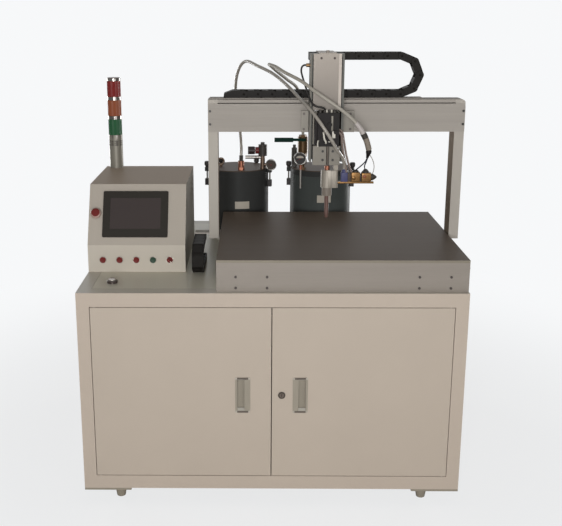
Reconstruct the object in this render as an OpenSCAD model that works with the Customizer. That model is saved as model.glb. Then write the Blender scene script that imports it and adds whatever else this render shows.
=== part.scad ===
// Bench-height potting machine: a steel cabinet with a sloped control console and a signal tower,
// a fixed work platform, a moving bridge with a carriage and a lifting mixing head, and two
// pressure tanks behind it. X runs to the right, Y to the back and Z up. Sizes are in millimetres.

/* [Cabinet] */
// Width of the cabinet
cab_w = 1200; // [1180:10:1300]
// Depth of the cabinet
cab_d = 1000; // [1000:10:1150]
// Height of the cabinet body without its feet
cab_h = 657; // [560:1:800]
// Thickness of the cabinet's sheet
sheet_t = 2; // [1.5:0.5:3]
// Width of the frame beside the doors
post_w = 40; // [35:1:60]
// Height of the frame below the doors
sill_h = 44.5; // [40:0.5:60]
// Height of the frame above the doors
head_h = 44.5; // [40:0.5:60]
// Gap round each door
door_gap = 2; // [2:0.5:4]
// Depth of the folded edge of a door
door_t = 20; // [18:1:30]
// Radius of a hinge pin
pin_r = 3; // [2:0.5:3]
// Width of the worktop's border at the sides
border_x = 42; // [35:1:60]
// Width of the worktop's border at the front and back
border_y = 48; // [40:1:70]
// Thickness of the worktop's plate
deck_t = 3; // [2:0.5:5]
// Side of a square corner plate
foot_plate_w = 150; // [120:5:180]
// Thickness of a corner plate
foot_plate_t = 7; // [5:1:12]
// Height of a foot
foot_h = 43; // [30:1:70]
// Distance of a foot from the side of the cabinet
foot_in_x = 110; // [80:5:125]
// Distance of a foot from the front or back
foot_in_y = 48; // [40:1:80]

/* [Door fittings] */
// Width of a recessed pull
pull_w = 47; // [40:1:60]
// Height of a recessed pull
pull_h = 118; // [90:1:140]
// Depth of a pull's cup
pull_d = 14; // [10:1:16]
// Distance of a pull from the middle of the cabinet
pull_x = 90; // [75:1:120]
// Height of the pulls and of the lock above the floor
pull_z = 374; // [300:1:420]
// Distance of the lock from the middle of the cabinet
lock_x = 32; // [22:1:40]
// Radius of the lock's front ring
lock_ring_r = 11.5; // [10.5:0.5:14]
// Radius of the lock's turning plug
lock_plug_r = 7; // [5:0.5:8]
// Reach of the lock's cam
cam_l = 44; // [40:1:48]

/* [Console] */
// Width of the console
con_w = 320; // [300:5:330]
// Distance of the console from the front of the cabinet
con_y0 = 238; // [220:1:260]
// Height of the upright button panel
con_h1 = 90; // [70:1:110]
// Height of the whole console
con_h2 = 275; // [240:1:320]
// Depth of the sloped panel, measured along the worktop
con_slope_d = 99; // [80:1:120]
// Depth of the console
con_d = 467; // [450:1:520]
// Width of the touch screen's bezel
hmi_w = 215; // [190:1:220]
// Height of the touch screen's bezel
hmi_h = 157; // [140:1:165]
// Width of the glass of the touch screen
glass_w = 167; // [150:1:175]
// Height of the glass of the touch screen
glass_h = 106; // [95:1:115]
// Thickness of the bezel in front of the panel
hmi_t = 6; // [4:1:8]
// Pitch of the row of buttons
btn_pitch = 55; // [48:1:56]
// Radius of a button's cap
btn_r = 10; // [8:0.5:10.5]
// Height of a button's cap in front of its collar
btn_h = 5; // [4:0.5:6]
// Radius of a button's collar
collar_r = 12.5; // [12.5:0.5:15]
// Radius of the stop button's head
stop_r = 17.5; // [15:0.5:20]
// Radius of the round button on the worktop
table_btn_r = 15.5; // [14:0.5:18]

/* [Signal tower] */
// Radius of the tower
tower_r = 24.5; // [20:0.5:25]
// Height of the tower's foot tube
tower_base_h = 109; // [90:1:130]
// Height of a ring between two lenses
ring_h = 12; // [8:1:16]
// Height of a lens
lens_h = 56.5; // [45:0.5:65]
// Wall of a lens
lens_t = 2.5; // [2:0.5:4]

/* [Platform] */
// Width of the platform
plat_w = 770; // [740:10:780]
// Depth left behind the platform for the tanks
tank_space = 281; // [274:1:289]
// Distance of the platform from the front of the cabinet
plat_y0 = 21; // [15:1:25]
// Height of the platform above the worktop
plat_h = 98.5; // [95:0.5:110]
// Thickness of the platform's top plate
plat_top_t = 8; // [6:1:9]
// Thickness of the platform's walls
plat_wall = 3; // [2:0.5:4]
// Side of the guide rails
rail_s = 15; // [12:1:16]
// Height of a bearing block with its rail
block_h = 28; // [26:1:30]
// Thickness of the plate under the bridge
cross_t = 8; // [6:1:9]
// Radius of the long drive screws
screw_r = 8; // [6:0.5:9]
// Radius of the short drive screws
small_screw_r = 5; // [4:0.5:5.5]

/* [Bridge] */
// Distance of the bridge's front from the front of the cabinet
bridge_y = 368; // [340:1:380]
// Width of a column
col_w = 32; // [28:1:38]
// Depth of a column
col_d = 76; // [74:1:90]
// Gap between the platform and a column
col_gap = 5; // [3:1:8]
// Height of the top of the beam above the worktop
beam_top = 549; // [540:1:580]
// Height of the beam
beam_h = 105; // [105:1:125]
// Wall of the beam's section
beam_wall = 8; // [7:1:8]
// Thickness of the beam's flanges
flange_t = 10; // [8:1:10]
// Thickness of the beam's front cover
cover_t = 3; // [2:0.5:4]
// Height of the slot above the front cover
slot_h = 3; // [3:0.5:4]

/* [Head] */
// Place of the nozzle from the middle of the platform
head_x = -34; // [-60:1:0]
// Distance of the nozzle's axis in front of the bridge
nozzle_out = 93; // [88:1:96]
// Width of the carriage's front plate
carr_w = 174; // [160:1:190]
// Height of the carriage's front plate
carr_h = 70; // [60:1:80]
// Width of the lift's housing
lift_w = 108; // [106:1:120]
// Height of the lift's housing
lift_h = 343; // [330:1:360]
// Depth of the lift's housing
lift_d = 62; // [60:1:70]
// Wall of the lift's housing
lift_wall = 7; // [6:1:7]
// Height of the front cover of the lift
lift_cover_h = 176; // [160:1:178]
// Width of the front cover of the lift
lift_cover_w = 89; // [84:1:90]
// Width of the sliding plate
slide_w = 86; // [84:1:88]
// Height of the sliding plate
slide_h = 168; // [166:1:170]
// Height of the mounting block under the dosing valve
mount_h = 62; // [50:1:64]
// Width of the dosing valve
valve_w = 68; // [60:1:72]
// Depth of the dosing valve
valve_d = 54; // [50:1:60]
// Radius of the mixing body
mix_r = 20; // [18:0.5:22]
// Height of the mixing body
mix_h = 56; // [50:1:60]
// Radius of the ribbed nut
nut_r = 16; // [14:0.5:18]
// Height of the ribbed nut
nut_h = 27; // [22:1:32]
// Radius of the nozzle
nozzle_r = 7; // [7:0.5:8]
// Bore radius of the nozzle
nozzle_bore = 5.5; // [5.5:0.1:6]
// Length of the nozzle below the nut
nozzle_l = 73; // [66:1:78]

/* [Cable chains] */
// Pitch of the bridge's chain
chain_p = 47; // [44:1:48]
// Height of the bridge's chain
chain_h = 25; // [22:1:26]
// Width of the bridge's chain
chain_w = 50; // [40:1:52]
// Pitch of the platform's chain
small_p = 38.5; // [37:0.5:39]
// Height of the platform's chain
small_h = 20; // [17:1:20]
// Width of the platform's chain
small_w = 38; // [34:1:40]
// Side wall of a chain link
link_t = 3; // [2:0.5:3]

/* [Tanks] */
// Radius of a tank
tank_r = 117; // [105:1:118]
// Height of a tank's vessel
tank_h = 222; // [200:1:260]
// Thickness of a tank's lid
lid_t = 20; // [15:1:25]
// Thickness of a tank's seal
seal_t = 3; // [2:0.5:4]
// Wall of a tank
tank_wall = 4; // [3:0.5:6]
// Distance between the tanks' axes
tank_pitch = 320; // [300:1:330]
// Place of the middle between the tanks
tank_mid_x = 44; // [30:1:60]
// Distance of the tanks' axes from the back of the cabinet
tank_in = 121; // [119:1:130]

/* [Hidden] */
$fn = 48;

// Running clearance of a shaft in its bore, and free clearance between sliding faces
run = 0.05;
gap = 0.3;

// Cabinet
half_w = cab_w / 2;
cab_z0 = foot_h + foot_plate_t;
top_z = cab_z0 + cab_h;
open_x = half_w - post_w;
open_z0 = cab_z0 + sill_h;
open_z1 = top_z - head_h;
return_d = door_t + 5;
deck_x = half_w - border_x;
deck_y1 = cab_d - border_y;
deck_gap = 0.8;
ledge_w = 15;
foot_stud_r = 6;
foot_low_r = 14;
foot_top_r = 19;
back_over = 15;
louvre_n = 14;
louvre_w = 220;
louvre_pitch = 18;
inlet_x = -half_w + 140;
inlet_z = open_z0 + 40;
inlet_w = 28;
inlet_h = 20;
elec_w = 900;
elec_y = cab_d - 110;
elec_z0 = cab_z0 + 90;
elec_z1 = top_z - 60;
duct_up = 190;
rib_w = 40;
rib_h = 30;

// Doors: the pin sits close to the outer front corner, so that the corner clears the frame
door_x0 = door_gap / 2 + 0.5;
door_x1 = open_x - door_gap;
door_z0 = open_z0 + door_gap;
door_z1 = open_z1 - door_gap;
pin_in = 12;
pin_y = 6.5;
pin_x = door_x1 - pin_in;
boss_w = 20;
boss_t = 8;
pin_head_r = 4;
pin_head_t = 3;
pull_lip = 2;
pull_rim = 5;
pull_wall = 1.5;
pull_grip = 18;
lock_body_r = 9.5;
lock_ring_t = 2.5;
lock_plug_out = 4;
cam_t = 3;
cam_w = 12;
cam_y = door_t + 0.5;

// Console: the slope leans back by slope_a from upright
con_x0 = -half_w;
con_x1 = con_x0 + con_w;
con_z1 = top_z + con_h1;
con_z2 = top_z + con_h2;
con_y1 = con_y0 + con_slope_d;
con_y2 = con_y0 + con_d;
slope_a = atan2(con_slope_d, con_h2 - con_h1);
slope_l = norm([con_slope_d, con_h2 - con_h1]);
hmi_x = con_x0 + 47 + hmi_w / 2;
hmi_s = slope_l / 2;
hmi_back_in = 8;
hmi_depth = 34;
glass_t = 1.5;
glass_up = 2;
btn_z = top_z + con_h1 * 0.46;
btn_x0 = con_x0 + 49;
collar_t = 2;
barrel_r = collar_r - 1.5;
contact_l = 40;
btn_travel = 3;
stop_x = con_x0 + 25;
stop_neck_r = 10;
stop_travel = 5;
stop_out = 13;
table_btn_x = con_x0 + 97;
table_btn_y = 113;
table_collar_h = 9;
table_travel = 3;

// Signal tower
tower_x = con_x0 + 39;
tower_y = con_y2 - tower_r - 1;
mast_r = 8;
tower_slot_n = 10;

// Platform and its guides
plat_x1 = half_w;
plat_x0 = plat_x1 - plat_w;
plat_cx = (plat_x0 + plat_x1) / 2;
plat_d = cab_d - plat_y0 - tank_space;
plat_y1 = plat_y0 + plat_d;
plat_z = top_z + plat_h;
plat_under = plat_z - plat_top_t;
cross_z1 = plat_under - 1.5;
cross_z0 = cross_z1 - cross_t;
rail_z0 = cross_z0 - block_h;
rail_off = plat_w / 2 - 60;
block_w = 34;
block_l = 50;
block_lift = 4;
rail_beam_w = 40;
slit_z0 = cross_z0 - 1.5;
cross_over = 20;
y_screw_z = cross_z0 - 38;
y_nut_w = 40;
y_nut_l = 40;
y_nut_y = bridge_y - 3;
bearing_t = 16;
y_bearing_y0 = plat_y0 + plat_wall + 2;
y_bearing_y1 = plat_y1 - 83;
y_motor_s = 57;
y_motor_l = 60;

// Bridge
col_y0 = bridge_y + cover_t;
col_y1 = col_y0 + col_d;
col_x0 = plat_x0 - col_gap;
col_x1 = plat_x1 + col_gap;
beam_z1 = top_z + beam_top;
beam_z0 = beam_z1 - beam_h;
cover_z1 = beam_z1 - flange_t - slot_h;
beam_in_z0 = beam_z0 + flange_t;
beam_in_z1 = beam_z1 - flange_t;
wall_y = col_y1 - beam_wall;
x_rail_z0 = beam_in_z0 + 16;
x_rail_z1 = beam_in_z1 - 17;
small_block_w = 26;
x_block_y = wall_y - block_h;
x_screw_y = wall_y - 15;
x_screw_z = (x_rail_z0 + x_rail_z1) / 2;
x_bearing_t = 12;
x_motor_s = 28;
x_motor_l = 60;
x_nut_w = 30;
x_nut_h = 22;
x_block_l = 50;
corner_r = 12;
tray_t = 3;

// Chains
chain_low_n = 11;
chain_top_n = 6;
chain_bend_n = 4;
chain_pin_r = 4;
chain_r = chain_p / 2 / sin(90 / chain_bend_n);
chain_z0 = beam_z1 + tray_t + chain_h / 2;
chain_top_z = chain_z0 + 2 * chain_r + chain_h / 2;
chain_y = col_y1 - chain_w / 2 + 3;
chain_cx = plat_cx + 213;
chain_x0 = chain_cx - chain_low_n * chain_p;
small_run_n = 4;
small_bend_n = 3;
small_r = small_p / 2 / sin(90 / small_bend_n);
small_x = col_x0 - col_w - 11 - small_w / 2;
small_y1 = plat_y0 + 212 + small_run_n * small_p;
small_z0 = top_z + small_h / 2;
small_top_z = small_z0 + 2 * small_r + small_h / 2;

// Head
nozzle_x = plat_cx + head_x;
nozzle_y = bridge_y - nozzle_out;
inner_w = 120;
inner_t = 8;
carr_t = 10;
carr_x = nozzle_x + 5;
carr_y1 = bridge_y - 6;
carr_y0 = carr_y1 - carr_t;
carr_z1 = beam_z0 + 71;
neck_w = 90;
lip_t = 2.4;
lip_z0 = cover_z1 + (slot_h - lip_t) / 2;
lift_x = nozzle_x - 4;
lift_z1 = chain_top_z;
lift_z0 = lift_z1 - lift_h;
lift_y1 = carr_y0;
lift_y0 = lift_y1 - lift_d;
lift_back = 10;
lift_back_y = lift_y1 - lift_back;
lift_rail_x = 30;
slide_t = 10;
slide_z0 = lift_z0 - 7;
slide_z1 = slide_z0 + slide_h;
slide_y1 = lift_back_y - block_h;
slide_y0 = slide_y1 - slide_t;
lift_block_l = 40;
lift_screw_y = lift_back_y - 16;
lift_motor_s = 32;
lift_motor_l = 60;
lift_bearing_t = 14;
lift_motor_z = lift_z1 - lift_motor_l - 8;
lift_nut_h = 30;
lift_nut_w = 26;
lift_nut_z = slide_z0 + 96;
lift_cover_t = 2.5;
lift_cover_y0 = lift_y0 - 5;
lift_cover_y1 = lift_cover_y0 + lift_cover_t;
lift_cover_z0 = lift_z1 - lift_cover_h;
lift_rail_l = 254;
arm_t = 3;
elbow_l = 12;
elbow_y = lift_y0 + 28;
elbow_z = lift_z1 - 37;
arm_w = 56;
arm_x0 = lift_x - 27;
bolt_r = 5;
bolt_h = 7;
mount_y0 = nozzle_y - 11;
shaft_slot = 10;
valve_z0 = slide_z0 + mount_h;
valve_z1 = slide_z1;
valve_y0 = slide_y0 - valve_d;
rotor_top = valve_z0 - gap;
shaft_r = 3;
hub_r = 8;
hub_h = 13;
mix_z1 = slide_z0 - 17;
mix_z0 = mix_z1 - mix_h;
mix_arm_w = 12;
nut_z0 = mix_z0 - nut_h;
nozzle_z0 = nut_z0 - nozzle_l;
tip_h = 12;
tip_r = 5.5;
tip_bore = 1.5;
paddle_n = 6;
paddle_r = 5;
paddle_pitch = 8;
nut_rib_n = 20;
fitting_h = 47;
valve_xs = [nozzle_x + 95.5, nozzle_x + 130.5];
bar_z0 = mix_z0;
bar_t = 7;
bar_y0 = nozzle_y + 10;
bar_d = 14;
bar_x1 = nozzle_x + 156;
sleeve_z1 = bar_z0 + 75;
fitting_y = bar_y0 + bar_d / 2 - 2;
fitting_z = bar_z0 + bar_t + fitting_h;

// Tanks
tank_y = cab_d - tank_in;
tank_xs = [tank_mid_x - tank_pitch / 2, tank_mid_x + tank_pitch / 2];
lid_z0 = top_z + tank_h + seal_t;
lid_z1 = lid_z0 + lid_t;
clamp_angles = [-8, 55, 125, 172];
stand_y = tank_y - 76;
stand_x = [tank_xs[0] + 12, tank_xs[1] - 74];
dip_r = 6;
ear_l = 14;
bolt_at = tank_r + 7;
feed_z0 = lid_z1 + 55;
sleeve_z0 = lid_z1 + 133;
lever_z = lid_z1 + 117;
lever_l = 108;
lever_t = 5;
lever_x = stand_x[1];
lever_y = stand_y - 24;
lever_stem_r = 4;
reg_z = lid_z1 + 71;

// The middle of the machine's plan is the origin
centre_x = (col_x1 + col_w - half_w) / 2;
centre_y = cab_d / 2;

// Routes of the hoses and the cable, as points chosen along each one
feed_d = 11;
feed_route = [
    [stand_x[0], stand_y, feed_z0], [stand_x[0], stand_y, feed_z0 + 50], [-113, 775, 1170],
    [-123, 735, 1263], [-111, 690, 1333], [-84, 640, 1366], [-42, 560, 1354],
    [10, 480, 1332], [56, 400, 1298], [97, 310, 1259], [119, 268, 1239], [150, 235, 1201],
    [186, 226, 1148], [208, 234, 1107], [224, 254, 1070],
    [nozzle_x + 57, fitting_y, fitting_z + 16], [nozzle_x + 57, fitting_y, fitting_z]
];
sleeve_d = 11;
sleeve_route = [
    [stand_x[1], stand_y, sleeve_z0], [stand_x[1], stand_y, sleeve_z0 + 40], [118, 780, 1190],
    [102, 730, 1262], [62, 650, 1302], [27, 570, 1333], [0, 500, 1359], [-3, 460, 1364],
    [17, 415, 1359], [45, 365, 1344], [95, 300, 1321], [140, 257, 1290], [204, 246, 1247],
    [251, 250, 1210], [280, 258, 1178], [303, 270, 1137],
    [valve_xs[1], fitting_y, sleeve_z1 + 30], [valve_xs[1], fitting_y, sleeve_z1]
];
cable_d = 6;
cable_route = [
    [lift_x - lift_w / 2 - elbow_l, elbow_y, elbow_z],
    [lift_x - lift_w / 2 - elbow_l - 7, elbow_y, elbow_z], [98, 318, 1348], [101, 316, 1322],
    [107, 308, 1296], [114, 290, 1270], [126, 272, 1254], [146, 262, 1245],
    [166, 266, 1238], [170, 268, valve_z1 + 8], [170, 268, valve_z1]
];

module in_frame() {
    translate([-centre_x, -centre_y, 0]) children();
}

module block(a, b) {
    translate(a) cube(b - a);
}

module rod_x(p, r, l) {
    translate(p) rotate([0, 90, 0]) cylinder(r = r, h = l);
}

module rod_y(p, r, l) {
    translate(p) rotate([-90, 0, 0]) cylinder(r = r, h = l);
}

module rod_z(p, r, l) {
    translate(p) cylinder(r = r, h = l);
}

// A rectangle with round corners, centred on the origin
module round_rect(w, h, r) {
    square([w - 2 * r, h], center = true);
    square([w, h - 2 * r], center = true);
    for (sx = [-1, 1], sy = [-1, 1])
        translate([sx * (w / 2 - r), sy * (h / 2 - r)]) circle(r = r);
}

// An upright plate in the XZ plane with round corners, from y0 back to y1
module face_plate(x, z, w, h, r, y0, y1) {
    translate([x, y1, z]) rotate([90, 0, 0]) linear_extrude(y1 - y0) round_rect(w, h, r);
}

// A square frame of box section between two boxes
module ring_block(a, b, c, d) {
    difference() {
        block(a, b);
        block(c, d);
    }
}

// Screw head with a hexagonal socket, facing +Z
module cap_screw(r, h) {
    difference() {
        cylinder(r = r, h = h);
        translate([0, 0, h * 0.45]) cylinder(r = r * 0.55, h = h, $fn = 6);
    }
}

// Frame of the sloped panel: x to the right, y up the slope, z outwards
module on_slope(x, s) {
    translate([x, con_y0 + s * sin(slope_a), con_z1 + s * cos(slope_a)])
        rotate([90 - slope_a, 0, 0]) children();
}

// Frame of the upright button panel: z outwards
module on_panel(x, z) {
    translate([x, con_y0, z]) rotate([90, 0, 0]) children();
}

// Section of a guide rail on its base, with a waist for the balls
module rail_section() {
    h = rail_s / 2;
    polygon([
        [-h, 0], [h, 0], [h, rail_s * 0.4], [h - 1.5, rail_s * 0.55], [h, rail_s * 0.75],
        [h, rail_s], [-h, rail_s], [-h, rail_s * 0.75], [1.5 - h, rail_s * 0.55],
        [-h, rail_s * 0.4]
    ]);
}

module rail(l) {
    linear_extrude(l) rail_section();
}

// Bearing block that rides on a rail
module bearing_block(w, l) {
    linear_extrude(l) difference() {
        translate([-w / 2, block_lift]) square([w, block_h - block_lift]);
        translate([-rail_s / 2 - gap, 0]) square([rail_s + 2 * gap, rail_s + gap]);
    }
}

// Places what is drawn along Z: along Y to the front with its base down, or along X or Z
// with its base to the back
module along_y(p) {
    translate(p) rotate([90, 0, 0]) children();
}

module along_x(p) {
    translate(p) rotate([180, 0, 0]) rotate([0, 90, 0]) children();
}

module along_z(p) {
    translate(p) rotate([0, 0, 180]) children();
}

// A tube swept along a smooth curve through the route's points
function spline(a, b, c, d, t) = 0.5 * (2 * b + (c - a) * t
    + (2 * a - 5 * b + 4 * c - d) * t * t + (3 * b - a - 3 * c + d) * t * t * t);
function route_line(p, steps) = let(n = len(p)) [
    for (i = [0 : n - 2], k = [0 : steps - 1])
        spline(p[max(i - 1, 0)], p[i], p[i + 1], p[min(i + 2, n - 1)], k / steps),
    p[n - 1]
];
function unit(v) = v / norm(v);
module hose(route, d, sides, steps) {
    line = route_line(route, steps);
    n = len(line);
    last = len(route) - 1;
    rings = [
        for (i = [0 : n - 1])
            let(
                along = unit(i == 0 ? route[1] - route[0] : i == n - 1 ? route[last] - route[last - 1]
                    : line[i + 1] - line[i - 1]),
                side = unit(cross(along, [0.2, 1, 0.1])),
                up = cross(side, along)
            )
            for (k = [0 : sides - 1])
                line[i] + d / 2 * (side * cos(360 * k / sides) + up * sin(360 * k / sides))
    ];
    faces = [
        for (i = [0 : n - 2], k = [0 : sides - 1])
            let(a = i * sides + k, b = i * sides + (k + 1) % sides)
            each [[a, b, b + sides], [a, b + sides, a + sides]],
        [for (k = [0 : sides - 1]) sides - 1 - k],
        [for (k = [0 : sides - 1]) (n - 1) * sides + k]
    ];
    polyhedron(rings, faces);
}

// Cabinet

module cabinet_shell() color("#b8ab9f") in_frame() {
    difference() {
        block([-half_w, 0, cab_z0], [half_w, cab_d, top_z]);
        block(
            [sheet_t - half_w, sheet_t, cab_z0 + sheet_t],
            [half_w - sheet_t, cab_d - sheet_t, top_z - sheet_t]
        );
        block([-open_x, -1, open_z0], [open_x, cab_d + 1, open_z1]);
        block([-deck_x, border_y, top_z - 10], [deck_x, deck_y1, top_z + 1]);
        for (x = [-half_w + foot_in_x, half_w - foot_in_x], y = [foot_in_y, cab_d - foot_in_y])
            rod_z([x, y, cab_z0 - 1], foot_stud_r, sheet_t + 2);
    }
    // Folded edges behind the frame, bored for the hinge pins
    difference() {
        ring_block(
            [-open_x - sheet_t, sheet_t, open_z0 - sheet_t],
            [open_x + sheet_t, return_d, open_z1 + sheet_t],
            [-open_x, 0, open_z0], [open_x, return_d + 1, open_z1]
        );
        for (s = [-1, 1]) rod_z([s * pin_x, pin_y, cab_z0], pin_r, cab_h);
    }
    // Ledge that carries the worktop's plate
    ring_block(
        [-deck_x - sheet_t, border_y - sheet_t, top_z - deck_t - sheet_t],
        [deck_x + sheet_t, deck_y1 + sheet_t, top_z - sheet_t],
        [-deck_x, border_y, 0], [deck_x, deck_y1, top_z]
    );
    ring_block(
        [-deck_x, border_y, top_z - deck_t - sheet_t],
        [deck_x, deck_y1, top_z - deck_t],
        [ledge_w - deck_x, border_y + ledge_w, 0], [deck_x - ledge_w, deck_y1 - ledge_w, top_z]
    );
}

module back_panel() color("#b1a498") in_frame() {
    h = open_z1 - open_z0 + 2 * back_over;
    difference() {
        block(
            [-open_x - back_over, cab_d, open_z0 - back_over],
            [open_x + back_over, cab_d + sheet_t, open_z1 + back_over]
        );
        for (s = [-1, 1], i = [0 : louvre_n - 1])
            block(
                [s * open_x / 2 - louvre_w / 2, cab_d - 1, open_z0 + 60 + i * louvre_pitch],
                [s * open_x / 2 + louvre_w / 2, cab_d + 3, open_z0 + 66 + i * louvre_pitch]
            );
        face_plate(inlet_x, inlet_z, inlet_w, inlet_h, 3, cab_d - 1, cab_d + 3);
    }
    // Sloping hoods of the louvres
    for (s = [-1, 1], i = [0 : louvre_n - 1])
        translate([s * open_x / 2 - louvre_w / 2, cab_d + sheet_t, open_z0 + 66 + i * louvre_pitch])
            rotate([90, 0, 90]) linear_extrude(louvre_w) polygon([[0, 0], [2.5, -6], [3.5, -6], [1, 0]]);
    for (s = [-1, 0, 1], z = [open_z0 - back_over / 2, open_z1 + back_over / 2])
        translate([s * (open_x - 20), cab_d + sheet_t, z]) rotate([-90, 0, 0]) cap_screw(5, 3);
    // Appliance inlet with its three blades
    difference() {
        union() {
            face_plate(inlet_x, inlet_z, inlet_w + 8, inlet_h + 6, 3, cab_d + sheet_t, cab_d + sheet_t + 2);
            face_plate(inlet_x, inlet_z, inlet_w, inlet_h, 3, cab_d - 22, cab_d + sheet_t + 1);
        }
        face_plate(inlet_x, inlet_z, inlet_w - 5, inlet_h - 5, 2, cab_d - 18, cab_d + 9);
    }
    for (i = [-1 : 1])
        block(
            [inlet_x + i * 7 - 1, cab_d - 18, inlet_z - 3 + (i == 0 ? 3 : 0)],
            [inlet_x + i * 7 + 1, cab_d - 3, inlet_z + 3 + (i == 0 ? 3 : 0)]
        );
}

module worktop() color("#a89c91") in_frame() {
    block(
        [deck_gap - deck_x, border_y + deck_gap, top_z - deck_t],
        [deck_x - deck_gap, deck_y1 - deck_gap, top_z]
    );
    // Folded ribs under the plate
    for (y = [cab_d * 0.2, cab_d * 0.5, cab_d * 0.8])
        ring_block(
            [ledge_w + 5 - deck_x, y - rib_w / 2, top_z - deck_t - rib_h],
            [deck_x - ledge_w - 5, y + rib_w / 2, top_z - deck_t],
            [-half_w, y - rib_w / 2 + sheet_t, top_z - deck_t - rib_h + sheet_t],
            [half_w, y + rib_w / 2 - sheet_t, top_z - deck_t - sheet_t]
        );
}

// Each corner has a square plate, a tapered foot on a threaded stud, and a nut
module feet() color("#4a4542") in_frame()
    for (sx = [-1, 1], y = [0, 1]) {
        x = sx * (half_w - foot_in_x);
        fy = y == 0 ? foot_in_y : cab_d - foot_in_y;
        difference() {
            block(
                [min(sx * half_w, sx * (half_w - foot_plate_w)), y * (cab_d - foot_plate_w), foot_h],
                [max(sx * half_w, sx * (half_w - foot_plate_w)),
                    foot_plate_w + y * (cab_d - foot_plate_w), cab_z0]
            );
            rod_z([x, fy, foot_h - 1], foot_stud_r, foot_plate_t + 2);
        }
        translate([x, fy, 0]) {
            difference() {
                rotate_extrude() polygon([
                    [0, 0], [foot_low_r - 1, 0], [foot_low_r, 1], [foot_top_r, foot_h - 12],
                    [foot_top_r, foot_h - 8], [foot_stud_r + 5, foot_h - 8],
                    [foot_stud_r + 5, foot_h], [0, foot_h]
                ]);
                translate([0, 0, foot_h - 20]) cylinder(r = foot_stud_r, h = 30);
            }
            translate([0, 0, foot_h - 20]) cylinder(r = foot_stud_r, h = 20 + foot_plate_t + 16);
        }
    }

module hinge_pins() color("silver") in_frame()
    for (s = [-1, 1]) {
        x = s * pin_x;
        // Upper pin, dropped in from above
        rod_z([x, pin_y, door_z1 - boss_t], pin_r, boss_t + door_gap + sheet_t);
        rod_z([x, pin_y, open_z1 + sheet_t], pin_head_r, pin_head_t);
        // Lower pin with the shoulder that the door stands on
        rod_z([x, pin_y, open_z0 - sheet_t], pin_r, boss_t + door_gap + sheet_t);
        rod_z([x, pin_y, open_z0], pin_r + 2, door_gap - 0.1);
        rod_z([x, pin_y, open_z0 - sheet_t - pin_head_t], pin_head_r, pin_head_t);
    }

// Mounting plate for the electrics, on two folded posts, with slotted wiring ducts
module mounting_plate() color("#c9c7c0") in_frame() {
    block([-elec_w / 2, elec_y, elec_z0], [elec_w / 2, elec_y + 3, elec_z1]);
    for (s = [-1, 1])
        ring_block(
            [s * (elec_w / 2 - 40) - 20, elec_y + 3, cab_z0 + sheet_t],
            [s * (elec_w / 2 - 40) + 20, elec_y + 33, elec_z1],
            [s * (elec_w / 2 - 40) - 18, elec_y + 5, cab_z0],
            [s * (elec_w / 2 - 40) + 18, elec_y + 31, elec_z1 + 1]
        );
    for (z = [elec_z0 + 20, elec_z0 + duct_up, elec_z1 - 60])
        difference() {
            block([20 - elec_w / 2, elec_y - 50, z], [elec_w / 2 - 20, elec_y, z + 35]);
            block([10 - elec_w / 2, elec_y - 48, z + 2], [elec_w / 2 - 10, elec_y - 2, z + 33]);
            for (x = [40 - elec_w / 2 : 40 : elec_w / 2 - 40])
                block([x, elec_y - 51, z - 1], [x + 6, elec_y - 20, z + 40]);
        }
}

module controller() color("#3d4348") in_frame() {
    z = elec_z0 + duct_up + 45;
    block([60 - elec_w / 2, elec_y - 75, z], [210 - elec_w / 2, elec_y, z + 100]);
    // Plug-in terminals along the top and bottom
    for (s = [0, 1])
        block(
            [66 - elec_w / 2, elec_y - 60, s == 0 ? z - 8 : z + 100],
            [204 - elec_w / 2, elec_y - 30, s == 0 ? z : z + 108]
        );
}

// One drive for each of the three slides, and the power supply
module motor_drives() color("#6f7478") in_frame() {
    z = elec_z0 + duct_up + 45;
    for (i = [0 : 2])
        difference() {
            block([-60 + i * 75, elec_y - 110, z], [-5 + i * 75, elec_y, z + 150]);
            for (k = [0 : 5])
                block(
                    [-61 + i * 75, elec_y - 90 + k * 12, z - 1],
                    [-57 + i * 75, elec_y - 86 + k * 12, z + 151]
                );
        }
    difference() {
        block([200, elec_y - 50, z], [elec_w / 2 - 60, elec_y, z + 110]);
        for (k = [0 : 7]) block([210 + k * 12, elec_y - 51, z + 20], [214 + k * 12, elec_y - 48, z + 90]);
    }
}

// One door: a folded pan with bored bosses at its hinge side and a hat rib in its middle
module door_pan(s) {
    x0 = s > 0 ? door_x0 : -door_x1;
    x1 = s > 0 ? door_x1 : -door_x0;
    xm = (x0 + x1) / 2;
    edge = s > 0 ? x1 - boss_w - sheet_t : x0 + sheet_t;
    difference() {
        union() {
            difference() {
                block([x0, 0, door_z0], [x1, door_t, door_z1]);
                block(
                    [x0 + sheet_t, sheet_t, door_z0 + sheet_t],
                    [x1 - sheet_t, door_t + 1, door_z1 - sheet_t]
                );
            }
            for (z = [door_z0, door_z1 - boss_t])
                block([edge, sheet_t, z], [edge + boss_w, 14, z + boss_t]);
            block([xm - 25, sheet_t, door_z0 + 30], [xm + 25, 12, door_z1 - 30]);
        }
        block([xm - 23, sheet_t, door_z0 + 29], [xm + 23, 10, door_z1 - 29]);
        rod_z([s * pin_x, pin_y, door_z0 - 1], pin_r + run, boss_t + 1);
        rod_z([s * pin_x, pin_y, door_z1 - boss_t], pin_r + run, boss_t + 1);
        // Cut-out for the pull's cup
        block(
            [s * pull_x - pull_w / 2 + pull_rim, -1, pull_z - pull_h / 2 + pull_rim],
            [s * pull_x + pull_w / 2 - pull_rim, sheet_t + 1, pull_z + pull_h / 2 - pull_rim]
        );
        if (s > 0) rod_y([lock_x, -1, pull_z], lock_body_r, sheet_t + 2);
    }
}

module left_door() color("#c3b6aa") in_frame() door_pan(-1);

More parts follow.
